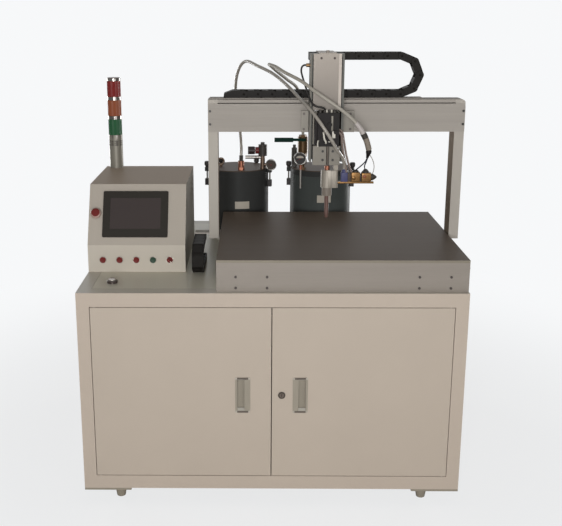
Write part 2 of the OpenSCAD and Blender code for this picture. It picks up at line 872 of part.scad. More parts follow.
module right_door() color("#c3b6aa") in_frame() {
    door_pan(1);
    // Fixed barrel and front ring of the lock
    difference() {
        union() {
            rod_y([lock_x, -lock_ring_t, pull_z], lock_ring_r, lock_ring_t);
            rod_y([lock_x, 0, pull_z], lock_body_r, door_t);
            rod_y([lock_x, sheet_t, pull_z], lock_body_r + 4, 5, $fn = 6);
        }
        rod_y([lock_x, -lock_ring_t - 1, pull_z], lock_plug_r + run, door_t + 5);
    }
}

// Recessed pull: a rim on the door's face, a cup with sloped ends, and a lip over the cup's inner side
module pull(s) {
    x0 = s * pull_x - pull_w / 2;
    x1 = s * pull_x + pull_w / 2;
    side = pull_rim + pull_wall;
    end = pull_h / 2 - pull_rim - pull_wall;
    difference() {
        union() {
            face_plate(s * pull_x, pull_z, pull_w, pull_h, 4, -pull_lip, 0);
            block(
                [x0 + pull_rim, 0, pull_z - pull_h / 2 + pull_rim],
                [x1 - pull_rim, pull_d, pull_z + pull_h / 2 - pull_rim]
            );
        }
        // Room behind the lip
        block([x0 + side, 0, pull_z - end + 6], [x1 - side, pull_d - pull_wall, pull_z + end - 6]);
        // Mouth beside the lip, wider at the front
        translate([s > 0 ? x0 + pull_grip : x0 + side, 0, pull_z]) rotate([90, 0, 90])
            linear_extrude(pull_w - side - pull_grip) polygon([
                [-pull_lip - 1, -end - 1.5], [-pull_lip - 1, end + 1.5],
                [pull_d - pull_wall, end - 8], [pull_d - pull_wall, 8 - end]
            ]);
    }
}

module left_pull() color("#8f8a86") in_frame() pull(-1);

module right_pull() color("#8f8a86") in_frame() pull(1);

// Turning plug with a coin slot, and the cam behind the door, upright when unlocked
module door_lock() color("silver") in_frame() {
    difference() {
        rod_y([lock_x, -lock_plug_out, pull_z], lock_plug_r, cam_y + lock_plug_out);
        block([lock_x - 1, -lock_plug_out - 1, pull_z - 5], [lock_x + 1, 2 - lock_plug_out, pull_z + 5]);
    }
    block([lock_x - cam_w / 2, cam_y, pull_z - 8], [lock_x + cam_w / 2, cam_y + cam_t, pull_z + cam_l]);
    rod_y([lock_x, cam_y + cam_t, pull_z], 6, 4, $fn = 6);
}

// Console

function console_outline(t) = let(q = tan(slope_a / 2), w = tan(45 - slope_a / 2)) [
    [con_y0 + t, top_z - (t > 0 ? 1 : 0)], [con_y0 + t, con_z1 - t * q],
    [con_y1 + t * w, con_z2 - t], [con_y2 - t, con_z2 - t], [con_y2 - t, top_z - (t > 0 ? 1 : 0)]
];

module console_prism(x0, x1, t) {
    translate([x0, 0, 0]) rotate([90, 0, 90]) linear_extrude(x1 - x0) polygon(console_outline(t));
}

module console_housing() color("#bfb2a6") in_frame() {
    difference() {
        console_prism(con_x0, con_x1, 0);
        console_prism(con_x0 + sheet_t, con_x1 - sheet_t, sheet_t);
        on_slope(hmi_x, hmi_s) linear_extrude(20, center = true)
            square([hmi_w - 2 * hmi_back_in, hmi_h - 2 * hmi_back_in], center = true);
        on_slope(stop_x, hmi_s) cylinder(r = barrel_r, h = 20, center = true);
        for (i = [0 : 4])
            on_panel(btn_x0 + i * btn_pitch, btn_z) cylinder(r = barrel_r, h = 20, center = true);
        // Cable way and vent slots in the back
        for (i = [0 : 7])
            block(
                [con_x0 + 60, con_y2 - 10, top_z + 60 + i * 16],
                [con_x1 - 60, con_y2 + 1, top_z + 65 + i * 16]
            );
        rod_z([tower_x, tower_y, con_z2 - 10], mast_r, 20);
    }
    // Folded foot inside the shell
    ring_block(
        [con_x0 + sheet_t, con_y0 + sheet_t, top_z], [con_x1 - sheet_t, con_y2 - sheet_t, top_z + sheet_t],
        [con_x0 + 18, con_y0 + 18, 0], [con_x1 - 18, con_y2 - 18, con_z1]
    );
}

module hmi_bezel() color("#232122") in_frame() on_slope(hmi_x, hmi_s) difference() {
    union() {
        linear_extrude(hmi_t) round_rect(hmi_w, hmi_h, 4);
        translate([0, 0, -hmi_depth]) linear_extrude(hmi_depth)
            square([hmi_w - 2 * hmi_back_in - 1, hmi_h - 2 * hmi_back_in - 1], center = true);
    }
    translate([0, glass_up, hmi_t - glass_t]) linear_extrude(10) square([glass_w, glass_h], center = true);
}

module hmi_screen() color("#3a3433") in_frame() on_slope(hmi_x, hmi_s)
    translate([0, glass_up, hmi_t - glass_t]) linear_extrude(glass_t - 0.3)
        square([glass_w - 0.4, glass_h - 0.4], center = true);

// Collar, threaded barrel, fixing nut and contact block behind one control
module collar(stem_r, out) {
    difference() {
        union() {
            cylinder(r = collar_r, h = out);
            translate([0, 0, -20]) cylinder(r = barrel_r - run, h = 20);
            translate([0, 0, -sheet_t - 4]) cylinder(r = barrel_r + 4, h = 4, $fn = 6);
            translate([-14, -10, -20 - contact_l]) cube([28, 20, contact_l]);
        }
        translate([0, 0, -18]) cylinder(r = stem_r + run, h = 30);
    }
}

module button_collars() color("#b9b4ae") in_frame() {
    for (i = [0 : 4]) on_panel(btn_x0 + i * btn_pitch, btn_z) collar(btn_r, collar_t);
    on_slope(stop_x, hmi_s) collar(stop_neck_r, collar_t);
    translate([table_btn_x, table_btn_y, top_z]) difference() {
        rotate_extrude() polygon([
            [0, 0], [table_btn_r + 1.5, 0], [table_btn_r + 1.5, table_collar_h - 2],
            [table_btn_r, table_collar_h], [0, table_collar_h]
        ]);
        translate([0, 0, 2]) cylinder(r = table_btn_r - 2.5 + run, h = 20);
    }
}

// Cap of a push button with a dished face, on a stem that runs in its collar
module button_cap() {
    difference() {
        translate([0, 0, -8]) cylinder(r = btn_r, h = 8 + collar_t + btn_h);
        translate([0, 0, collar_t + btn_h + 59]) sphere(r = 60);
    }
}

module button_one() color("#b3202c") in_frame() on_panel(btn_x0, btn_z) button_cap();

module button_two() color("#b3202c") in_frame() on_panel(btn_x0 + btn_pitch, btn_z) button_cap();

module button_three() color("#b3202c") in_frame() on_panel(btn_x0 + 2 * btn_pitch, btn_z) button_cap();

module start_button() color("#0f6b4a") in_frame() on_panel(btn_x0 + 3 * btn_pitch, btn_z) button_cap();

// Knob with a raised grip that points to the lower right
module mode_selector() color("#a81e28") in_frame() on_panel(btn_x0 + 4 * btn_pitch, btn_z) {
    translate([0, 0, -8]) cylinder(r = btn_r, h = 8 + collar_t + 2);
    intersection() {
        translate([0, 0, collar_t + 2]) cylinder(r = btn_r, h = 11);
        rotate([0, 0, -45]) translate([-btn_r, -3, 0]) cube([2 * btn_r, 6, collar_t + 13]);
    }
}

module stop_button() color("#a3131d") in_frame() on_slope(stop_x, hmi_s) {
    translate([0, 0, -8]) cylinder(r = stop_neck_r, h = 8 + collar_t + stop_travel + 4);
    translate([0, 0, collar_t + stop_travel + 1]) rotate_extrude() polygon([
        [0, 0], [stop_r - 3, 0], [stop_r, 4], [stop_r, 8], [stop_r - 1.5, stop_out - 2.5],
        [stop_r - 5, stop_out - 0.5], [stop_r - 9, stop_out], [0, stop_out]
    ]);
}

// Round chromed button: a dome with a skirt that slides into its black base
module table_button() color("silver") in_frame() translate([table_btn_x, table_btn_y, top_z]) {
    r = table_btn_r - 2.5;
    translate([0, 0, 2 + table_travel + 1]) cylinder(r = r, h = table_collar_h - 4);
    intersection() {
        translate([0, 0, table_collar_h + 2]) cylinder(r = r, h = 8);
        translate([0, 0, table_collar_h + 8 - 20]) sphere(r = 20);
    }
}

// Signal tower

function tower_z(i) = con_z2 + tower_base_h + i * (ring_h + lens_h);

// Foot tube with vent slots, rings and cap round a hollow mast
module tower_body() color("#b9aca0") in_frame() translate([tower_x, tower_y, 0]) {
    difference() {
        union() {
            translate([0, 0, con_z2]) cylinder(r = tower_r, h = tower_base_h);
            for (i = [0 : 2]) translate([0, 0, tower_z(i)]) cylinder(r = tower_r, h = ring_h);
            translate([0, 0, tower_z(3)]) cylinder(r = tower_r, h = ring_h - 3);
            translate([0, 0, tower_z(3) + ring_h - 3]) cylinder(r1 = tower_r, r2 = tower_r - 4, h = 3);
            translate([0, 0, con_z2]) cylinder(r = mast_r, h = tower_z(3) - con_z2);
        }
        translate([0, 0, con_z2 - 1]) cylinder(r = mast_r - 2, h = tower_z(3) - con_z2);
        for (k = [0 : tower_slot_n - 1], z = [12, 24])
            rotate([0, 0, 360 * k / tower_slot_n]) translate([tower_r - 3, -2, con_z2 + tower_base_h - z - 4])
                cube([10, 4, 8]);
    }
}

module tower_lens(i) {
    translate([tower_x, tower_y, tower_z(i) + ring_h]) difference() {
        cylinder(r = tower_r, h = lens_h);
        translate([0, 0, -1]) cylinder(r = tower_r - lens_t, h = lens_h + 2);
    }
}

module lens_green() color("#0a5f2c") in_frame() tower_lens(0);

module lens_amber() color("#c4641b") in_frame() tower_lens(1);

module lens_red() color("#a01422") in_frame() tower_lens(2);

// Platform

// Screw heads on an upright face, seen from the front
module front_screws(xs, y, zs, r, h) {
    for (x = xs, z = zs) translate([x, y, z]) rotate([90, 0, 0]) cap_screw(r, h);
}

// A plate in the XZ plane with its upper right corner rounded
module corner_plate(x0, x1, z0, z1, r, y0, y1) {
    translate([0, y1, 0]) rotate([90, 0, 0]) linear_extrude(y1 - y0) {
        difference() {
            translate([x0, z0]) square([x1 - x0, z1 - z0]);
            translate([x1 - r, z1 - r]) square(r + 1);
        }
        translate([x1 - r, z1 - r]) circle(r = r);
    }
}

module platform_frame() color("#b9aea4") in_frame() {
    for (y = [plat_y0, plat_y1 - plat_wall])
        block([plat_x0, y, top_z], [plat_x1, y + plat_wall, plat_under]);
    // Side walls, low enough for the bridge's plate to pass over them
    for (x = [plat_x0, plat_x1 - plat_wall])
        block([x, plat_y0 + plat_wall, top_z], [x + plat_wall, plat_y1 - plat_wall, slit_z0]);
    // Beams that carry the guide rails
    for (s = [-1, 1])
        block(
            [plat_cx + s * rail_off - rail_beam_w / 2, plat_y0 + plat_wall, top_z],
            [plat_cx + s * rail_off + rail_beam_w / 2, plat_y1 - plat_wall, rail_z0]
        );
    front_screws(
        [plat_x0 + 59, plat_x0 + 155, plat_x1 - 151, plat_x1 - 55],
        plat_y0, [top_z + 11, top_z + 46], 4, 2.5
    );
    translate([plat_x1, plat_y0 + 12, slit_z0 - 7.5]) rotate([0, 90, 0]) cap_screw(4, 2.5);
}

module platform_top() color("#c8beb4") in_frame()
    block([plat_x0, plat_y0, plat_under], [plat_x1, plat_y1, plat_z]);

// Rails under the platform, with the bearings and the motor of the drive screw
module y_guides() color("#a9a9a6") in_frame() {
    for (s = [-1, 1])
        along_y([plat_cx + s * rail_off, plat_y1 - plat_wall, rail_z0]) rail(plat_d - 2 * plat_wall);
    for (y = [y_bearing_y0, y_bearing_y1])
        difference() {
            block([plat_cx - 25, y, top_z], [plat_cx + 25, y + bearing_t, y_screw_z + 22]);
            rod_y([plat_cx, y - 1, y_screw_z], screw_r + run, bearing_t + 2);
        }
    h = y_motor_s / 2;
    y1 = y_bearing_y1 + bearing_t;
    block([plat_cx - h, y1, y_screw_z - h], [plat_cx + h, y1 + y_motor_l, y_screw_z + h]);
    block([plat_cx - 20, y1 + 8, top_z], [plat_cx + 20, y1 + y_motor_l - 8, y_screw_z - h]);
}

module y_screw() color("silver") in_frame()
    rod_y([plat_cx, y_bearing_y0, y_screw_z], screw_r, y_bearing_y1 + bearing_t - y_bearing_y0);

// Plate under the platform that ties the columns, with its bearing blocks and its nut
module cross_plate() color("#a3a29e") in_frame() {
    block([col_x0, bridge_y - cross_over, cross_z0], [col_x1, col_y1 + cross_over, cross_z1]);
    for (s = [-1, 1], y = [bridge_y - cross_over + 2, col_y1 + cross_over - 2 - block_l])
        along_y([plat_cx + s * rail_off, y + block_l, rail_z0]) bearing_block(block_w, block_l);
    difference() {
        block(
            [plat_cx - y_nut_w / 2, y_nut_y - y_nut_l / 2, y_screw_z - 15],
            [plat_cx + y_nut_w / 2, y_nut_y + y_nut_l / 2, cross_z0]
        );
        rod_y([plat_cx, y_nut_y - y_nut_l, y_screw_z], screw_r + run, 2 * y_nut_l);
    }
}

// Cable chains

// One link: inner tabs with pins at its first pivot, outer tabs with eyes at its second
module chain_link(p, w, h) {
    r = h / 2;
    in_y = w / 2 - link_t - 0.2;
    for (s = [-1, 1]) {
        difference() {
            union() {
                block(
                    [r + 1, min(s * w / 2, s * (in_y - link_t)), -r],
                    [p - r - 1, max(s * w / 2, s * (in_y - link_t)), r]
                );
                block(
                    [p - r - 2, s * (w / 2 - link_t / 2) - link_t / 2, -r],
                    [p, s * (w / 2 - link_t / 2) + link_t / 2, r]
                );
                rod_y([p, s * (w / 2 - link_t / 2) - link_t / 2, 0], r, link_t);
                block(
                    [0, s * (in_y - link_t / 2) - link_t / 2, -r],
                    [r + 2, s * (in_y - link_t / 2) + link_t / 2, r]
                );
                rod_y([0, s * (in_y - link_t / 2) - link_t / 2, 0], r, link_t);
            }
            rod_y([p, s * (w / 2 - link_t / 2) - link_t, 0], chain_pin_r + run, 2 * link_t);
        }
        rod_y([0, min(s * in_y, s * w / 2), 0], chain_pin_r, w / 2 - in_y);
    }
    for (z = [-r, r - 2.5])
        block([r + 1, link_t - w / 2, z], [p - r - 1, w / 2 - link_t, z + 2.5]);
    // Lid on the outer side of the bend
    block([0.7, 2 * link_t + 0.5 - w / 2, -r], [p - 0.7, w / 2 - 2 * link_t - 0.5, 2.5 - r]);
}

// Fixed end with eyes for the first link, and moving end with pins for the last one
module chain_start(w, h, l) {
    r = h / 2;
    difference() {
        union() {
            block([-r - 1 - l, -w / 2, -r], [-r - 1, w / 2, r]);
            for (s = [-1, 1]) {
                block(
                    [-r - 2, s * (w / 2 - link_t / 2) - link_t / 2, -r],
                    [0, s * (w / 2 - link_t / 2) + link_t / 2, r]
                );
                rod_y([0, s * (w / 2 - link_t / 2) - link_t / 2, 0], r, link_t);
            }
        }
        rod_y([0, -w, 0], chain_pin_r + run, 2 * w);
    }
}

module chain_tail(w, h, l) {
    in_y = w / 2 - link_t - 0.2;
    rod_y([0, -in_y, 0], h / 2, 2 * in_y);
    block([0, -in_y, -h / 2], [h / 2 + 1 + l, in_y, h / 2]);
    rod_y([0, -w / 2, 0], chain_pin_r, w);
}

// A chain that runs along X on its support, bends up and returns above
module drag_chain(p, w, h, low_n, bend_n, top_n) {
    r = p / 2 / sin(90 / bend_n);
    a = 180 / bend_n;
    for (i = [0 : low_n - 1]) translate([i * p, 0, 0]) chain_link(p, w, h);
    for (i = [0 : bend_n - 1])
        translate([low_n * p + r * sin(a * i), 0, r - r * cos(a * i)])
            rotate([0, -a * (i + 0.5), 0]) chain_link(p, w, h);
    for (i = [0 : top_n - 1])
        translate([(low_n - i) * p, 0, 2 * r]) rotate([0, 180, 0]) chain_link(p, w, h);
    chain_start(w, h, 12);
    translate([(low_n - top_n) * p, 0, 2 * r]) rotate([0, 180, 0]) chain_tail(w, h, 8);
}

module y_chain() color("#33322f") in_frame()
    translate([small_x, small_y1, small_z0]) rotate([0, 0, -90])
        drag_chain(small_p, small_w, small_h, small_run_n, small_bend_n, small_run_n);

module x_chain() color("#33322f") in_frame() translate([chain_x0, chain_y, chain_z0]) {
    drag_chain(chain_p, chain_w, chain_h, chain_low_n, chain_bend_n, chain_top_n);
    // Wedge that leads the cables up from the tray
    x = -chain_h / 2 - 13;
    translate([0, chain_w / 2, 0]) rotate([90, 0, 0]) linear_extrude(chain_w) polygon([
        [x, -chain_h / 2], [x, chain_h / 2], [x - 12, chain_h / 2], [x - 40, chain_h / 2 - 10],
        [x - 42, -chain_h / 2]
    ]);
}

// Bridge

module columns() color("#b3a99f") in_frame() {
    block([col_x0 - col_w, col_y0, cross_z0], [col_x0, col_y1, beam_z1]);
    corner_plate(col_x1, col_x1 + col_w, cross_z0, beam_z1, corner_r, col_y0, col_y1);
    // Bracket over the end of the platform's chain
    block(
        [small_x - small_w / 2, col_y0, small_top_z],
        [col_x0 - col_w, col_y0 + 40, small_top_z + 4]
    );
}

module beam() color("#c4bab0") in_frame() {
    difference() {
        block([col_x0, col_y0, beam_z0], [col_x1, col_y1, beam_z1]);
        block([col_x0 - 1, col_y0 - 1, beam_in_z0], [col_x1 + 1, wall_y, beam_in_z1]);
    }
    // Front cover, with the slot of the carriage's lip above it
    corner_plate(col_x0 - col_w, col_x1 + col_w, beam_z0, cover_z1, corner_r, bridge_y, col_y0);
    // Tray under the cable chain
    block(
        [col_x0 - col_w + 4, chain_y - chain_w / 2, beam_z1],
        [chain_cx + chain_r + 12, chain_y + chain_w / 2, beam_z1 + tray_t]
    );
}

// Rails inside the beam, with the bearings and the motor of the drive screw
module x_guides() color("#a9a9a6") in_frame() {
    for (z = [x_rail_z0, x_rail_z1]) along_x([col_x0, wall_y, z]) rail(col_x1 - col_x0 - x_motor_l);
    for (x = [col_x0, col_x1 - x_motor_l - x_bearing_t])
        difference() {
            block([x, x_screw_y - 10, x_screw_z - 14], [x + x_bearing_t, wall_y, x_screw_z + 14]);
            rod_x([x - 1, x_screw_y, x_screw_z], small_screw_r + run, x_bearing_t + 2);
        }
    block(
        [col_x1 - x_motor_l, x_screw_y - x_motor_s / 2, x_screw_z - x_motor_s / 2],
        [col_x1, x_screw_y + x_motor_s / 2, x_screw_z + x_motor_s / 2]
    );
}

module x_screw() color("silver") in_frame()
    rod_x([col_x0, x_screw_y, x_screw_z], small_screw_r, col_x1 - x_motor_l - col_x0);

module bridge_screws() color("#4b4845") in_frame()
    front_screws(
        [col_x0 - col_w + 7, col_x1 + col_w - 6], bridge_y, [beam_z0 + 25, beam_z0 + 68], 4, 2.5
    );

// Head

// Plate on the bearing blocks inside the beam, a lip through the slot, and the front plate
module carriage_plate() color("#b5aca3") in_frame() {
    block(
        [nozzle_x - inner_w / 2, x_block_y - inner_t, beam_in_z0 + 4],
        [nozzle_x + inner_w / 2, x_block_y, lip_z0 + lip_t]
    );
    block(
        [nozzle_x - neck_w / 2, carr_y0, lip_z0],
        [nozzle_x + neck_w / 2, x_block_y - inner_t, lip_z0 + lip_t]
    );
    block([nozzle_x - neck_w / 2, carr_y0, carr_z1], [nozzle_x + neck_w / 2, carr_y1, lip_z0]);
    block([carr_x - carr_w / 2, carr_y0, carr_z1 - carr_h], [carr_x + carr_w / 2, carr_y1, carr_z1]);
    for (x = [-inner_w / 2, inner_w / 2 - x_block_l], z = [x_rail_z0, x_rail_z1])
        along_x([nozzle_x + x, wall_y, z]) bearing_block(small_block_w, x_block_l);
    difference() {
        block(
            [nozzle_x - x_nut_w / 2, x_block_y, x_screw_z - x_nut_h / 2],
            [nozzle_x + x_nut_w / 2, wall_y - 2, x_screw_z + x_nut_h / 2]
        );
        rod_x([nozzle_x - x_nut_w, x_screw_y, x_screw_z], small_screw_r + run, 2 * x_nut_w);
    }
    front_screws(
        [carr_x - carr_w / 2 + 9, carr_x + carr_w / 2 - 13], carr_y0,
        [carr_z1 - carr_h + 10, carr_z1 - 10], 4, 2.5
    );
}

// Channel of the lift, open to the front, with an arm that carries the end of the chain
module lift_housing() color("#aca299") in_frame() {
    difference() {
        block([lift_x - lift_w / 2, lift_y0, lift_z0], [lift_x + lift_w / 2, lift_y1, lift_z1]);
        block(
            [lift_x - lift_w / 2 + lift_wall, lift_y0 - 1, lift_z0 - 1],
            [lift_x + lift_w / 2 - lift_wall, lift_back_y, lift_z1 + 1]
        );
    }
    // Plate over the motor, and a bar that holds the lower end of the cover
    w = lift_cover_w / 2 - lift_cover_t - gap;
    for (z = [lift_z1 - 8, lift_cover_z0]) {
        block([lift_x - w, lift_cover_y1, z], [lift_x + w, lift_y0, z + 8]);
        block(
            [lift_x - lift_w / 2 + lift_wall, lift_y0, z],
            [lift_x + lift_w / 2 - lift_wall, z > lift_cover_z0 ? lift_back_y : lift_y0 + 6, z + 8]
        );
    }
    // Elbow of the valve's cable
    rod_x([lift_x - lift_w / 2 - elbow_l, elbow_y, elbow_z], 6, elbow_l);
    block([arm_x0, lift_cover_y1, lift_z1], [arm_x0 + arm_w, chain_y + chain_w / 2, lift_z1 + arm_t]);
    translate([arm_x0 + arm_w / 2, lift_cover_y1 + 16, lift_z1 + arm_t]) cap_screw(bolt_r, bolt_h);
}

module lift_cover() color("#d3cac0") in_frame() {
    x0 = lift_x - lift_cover_w / 2;
    difference() {
        block([x0, lift_cover_y0, lift_cover_z0], [x0 + lift_cover_w, lift_y0, lift_z1]);
        block(
            [x0 + lift_cover_t, lift_cover_y1, lift_cover_z0 - 1],
            [x0 + lift_cover_w - lift_cover_t, lift_y0 + 1, lift_z1 + 1]
        );
    }
    front_screws([lift_x - 20, lift_x + 22], lift_cover_y0, [lift_z1 - 14], 3.5, 2);
}

// Rails of the lift, with the lower bearing and the motor of its screw
module lift_guides() color("#a9a9a6") in_frame() {
    for (s = [-1, 1])
        along_z([lift_x + s * lift_rail_x, lift_back_y, lift_z0 + 3]) rail(lift_rail_l);
    difference() {
        block(
            [lift_x - 14, lift_screw_y - 11, lift_z0 + 3],
            [lift_x + 14, lift_back_y, lift_z0 + 3 + lift_bearing_t]
        );
        rod_z([lift_x, lift_screw_y, lift_z0], small_screw_r + run, 40);
    }
    h = lift_motor_s / 2;
    block(
        [lift_x - h, lift_screw_y - h, lift_motor_z],
        [lift_x + h, lift_screw_y + h, lift_motor_z + lift_motor_l]
    );
}

module lift_screw() color("silver") in_frame()
    rod_z([lift_x, lift_screw_y, lift_z0 + 3], small_screw_r, lift_motor_z - lift_z0 - 3);

// Sliding plate with its bearing blocks and nut, and the block that holds the head
module slide_plate() color("#6e6862") in_frame() {
    block([lift_x - slide_w / 2, slide_y0, slide_z0], [lift_x + slide_w / 2, slide_y1, slide_z1]);
    for (s = [-1, 1], z = [slide_z1 - 4 - lift_block_l, slide_z1 - 19 - 2 * lift_block_l])
        along_z([lift_x + s * lift_rail_x, lift_back_y, z]) bearing_block(small_block_w, lift_block_l);
    difference() {
        block(
            [lift_x - lift_nut_w / 2, slide_y1, lift_nut_z],
            [lift_x + lift_nut_w / 2, lift_back_y - 4, lift_nut_z + lift_nut_h]
        );
        rod_z([lift_x, lift_screw_y, slide_z0], small_screw_r + run, slide_h);
    }
    difference() {
        block([lift_x - slide_w / 2, mount_y0, slide_z0], [lift_x + slide_w / 2, slide_y0, valve_z0]);
        block(
            [nozzle_x - shaft_slot / 2, mount_y0 - 1, slide_z0 - 1],
            [nozzle_x + shaft_slot / 2, nozzle_y + shaft_slot / 2, valve_z0 + 1]
        );
    }
    front_screws([nozzle_x - 16, nozzle_x + 16], mount_y0, [slide_z0 + 17, slide_z0 + 45], 4, 2.5);
}

// Valve that doses the two liquids, with its ports and its plug
module dosing_valve() color("#2b2a2a") in_frame() {
    block([nozzle_x - valve_w / 2, valve_y0, valve_z0], [nozzle_x + valve_w / 2, slide_y0, valve_z1]);
    for (x = [-20, 4], z = [valve_z0 + 24, valve_z0 + 70])
        rod_y([nozzle_x + x, valve_y0 - 6, z], 7, 6);
    rod_y([nozzle_x + 22, valve_y0 - 9, valve_z0 + 46], 6, 9);
}

// Stirring shaft with its hub and the paddles in the nozzle
module mixer_rotor() color("#b06a4c") in_frame() translate([nozzle_x, nozzle_y, 0]) {
    rod_z([0, 0, nozzle_z0 + tip_h + 4], shaft_r, rotor_top - nozzle_z0 - tip_h - 4);
    rod_z([0, 0, mix_z1 + 1], hub_r, hub_h);
    for (i = [0 : paddle_n - 1])
        translate([0, 0, nozzle_z0 + tip_h + 8 + i * paddle_pitch]) rotate([0, 0, 45 * i])
            block([-paddle_r, -1, 0], [paddle_r, 1, 5]);
}

module mixer_body() color("#c9c4bd") in_frame() {
    difference() {
        union() {
            rod_z([nozzle_x, nozzle_y, mix_z0], mix_r, mix_h);
            block(
                [nozzle_x + 8, nozzle_y - 13, mix_z0],
                [nozzle_x + mix_r + 14, nozzle_y + 25, mix_z1]
            );
            block(
                [nozzle_x + mix_r, nozzle_y - 13, mix_z0],
                [nozzle_x + mix_r + 14, nozzle_y + 25, slide_z0]
            );
        }
        rod_z([nozzle_x, nozzle_y, mix_z0 - 1], shaft_r + run, mix_h + 2);
        rod_z([nozzle_x, nozzle_y, mix_z0 - 1], nozzle_bore, 9);
    }
}

// Ribbed nut and the tube it holds
module nozzle() color("#c98a63") in_frame() translate([nozzle_x, nozzle_y, 0]) {
    difference() {
        union() {
            rod_z([0, 0, nut_z0], nut_r - 1.5, nut_h);
            for (i = [0 : nut_rib_n - 1])
                rotate([0, 0, 360 * i / nut_rib_n])
                    block([nut_r - 3, -1.5, nut_z0], [nut_r, 1.5, nut_z0 + nut_h]);
        }
        rod_z([0, 0, nut_z0 - 1], nozzle_r, nut_h + 2);
    }
    rotate_extrude() polygon([
        [tip_bore, nozzle_z0], [tip_r, nozzle_z0], [nozzle_r, nozzle_z0 + tip_h],
        [nozzle_r, mix_z0], [nozzle_bore, mix_z0], [nozzle_bore, nozzle_z0 + tip_h + 2],
        [tip_bore, nozzle_z0 + 3]
    ]);
}

// Bar beside the mixing body with the feed fitting and two valves
module side_valves() color("#b98a4a") in_frame() {
    bar_z1 = bar_z0 + bar_t;
    block([nozzle_x + mix_r + 14, bar_y0, bar_z0], [bar_x1, bar_y0 + bar_d, bar_z1]);
    y = fitting_y;
    translate([nozzle_x + 57, y, 0]) {
        block([-10, -9, bar_z1], [10, 9, bar_z1 + 36]);
        rod_z([0, 0, bar_z1 + 36], 7.5, fitting_h - 36);
    }
    for (i = [0, 1]) {
        x = valve_xs[i];
        w = i == 0 ? 15 : 18;
        block([x - w, y - 12, bar_z1], [x + w, y + 12, bar_z1 + 28]);
        rod_z([x, y, bar_z1 + 28], 10, 12);
        if (i == 1) rod_z([x, y, bar_z1 + 40], 7.5, sleeve_z1 - bar_z1 - 40);
    }
    translate([valve_xs[1] + 18, y, bar_z1 + 21]) rotate([0, 90, 0]) cylinder(r1 = 6, r2 = 2, h = 16);
}

// Tanks

// A turned vessel with a flat base
module tanks() color("#2c2623") in_frame()
    for (x = tank_xs) translate([x, tank_y, top_z]) rotate_extrude() polygon([
        [0, 0], [tank_r - 3, 0], [tank_r, 3], [tank_r, tank_h], [tank_r - tank_wall, tank_h],
        [tank_r - tank_wall, tank_wall + 8], [tank_r - tank_wall - 8, tank_wall], [0, tank_wall]
    ]);

// Lid with ears for the clamps, on its seal
module tank_lids() color("#4a3f39") in_frame()
    for (i = [0, 1]) translate([tank_xs[i], tank_y, 0]) {
        difference() {
            union() {
                rod_z([0, 0, lid_z0], tank_r, lid_t - 3);
                translate([0, 0, lid_z1 - 3]) cylinder(r1 = tank_r, r2 = tank_r - 3, h = 3);
                for (a = clamp_angles)
                    rotate([0, 0, a]) block([0, -11, lid_z0], [tank_r + ear_l, 11, lid_z1 - 4]);
            }
            for (a = clamp_angles)
                rotate([0, 0, a]) block([bolt_at - 3.5, -3.5, lid_z0 - 1], [tank_r + ear_l + 1, 3.5, lid_z1]);
            rod_z([stand_x[i] - tank_xs[i], stand_y - tank_y, lid_z0 - 1], dip_r + run, lid_t + 2);
        }
        translate([0, 0, lid_z0 - seal_t]) rotate_extrude()
            translate([tank_r - tank_wall, 0]) square([tank_wall - 0.5, seal_t]);
    }

// Clamp on a lug of the vessel: a bolt that swings into the lid's ear, and its knob
module lid_clamps() color("#35302e") in_frame()
    for (x = tank_xs, a = clamp_angles) translate([x, tank_y, 0]) rotate([0, 0, a]) {
        difference() {
            block([tank_r - 8, -10, lid_z0 - 55], [bolt_at + 7, 10, lid_z0 - 30]);
            rod_z([0, 0, lid_z0 - 80], tank_r + run, 80);
            block([tank_r + 1, -3.5, lid_z0 - 56], [bolt_at + 8, 3.5, lid_z0 - 20]);
        }
        rod_z([bolt_at, 0, lid_z0 - 50], 3, lid_t + 50 + 8);
        translate([bolt_at, -10, lid_z0 - 43]) rotate([-90, 0, 0]) cylinder(r = 2.5, h = 20);
        rod_z([bolt_at, 0, lid_z1 - 4], 7, 4);
        translate([bolt_at, 0, lid_z1]) rotate_extrude() polygon([
            [0, 0], [8, 0], [11, 4], [11, 14], [8, 18], [0, 18]
        ]);
    }

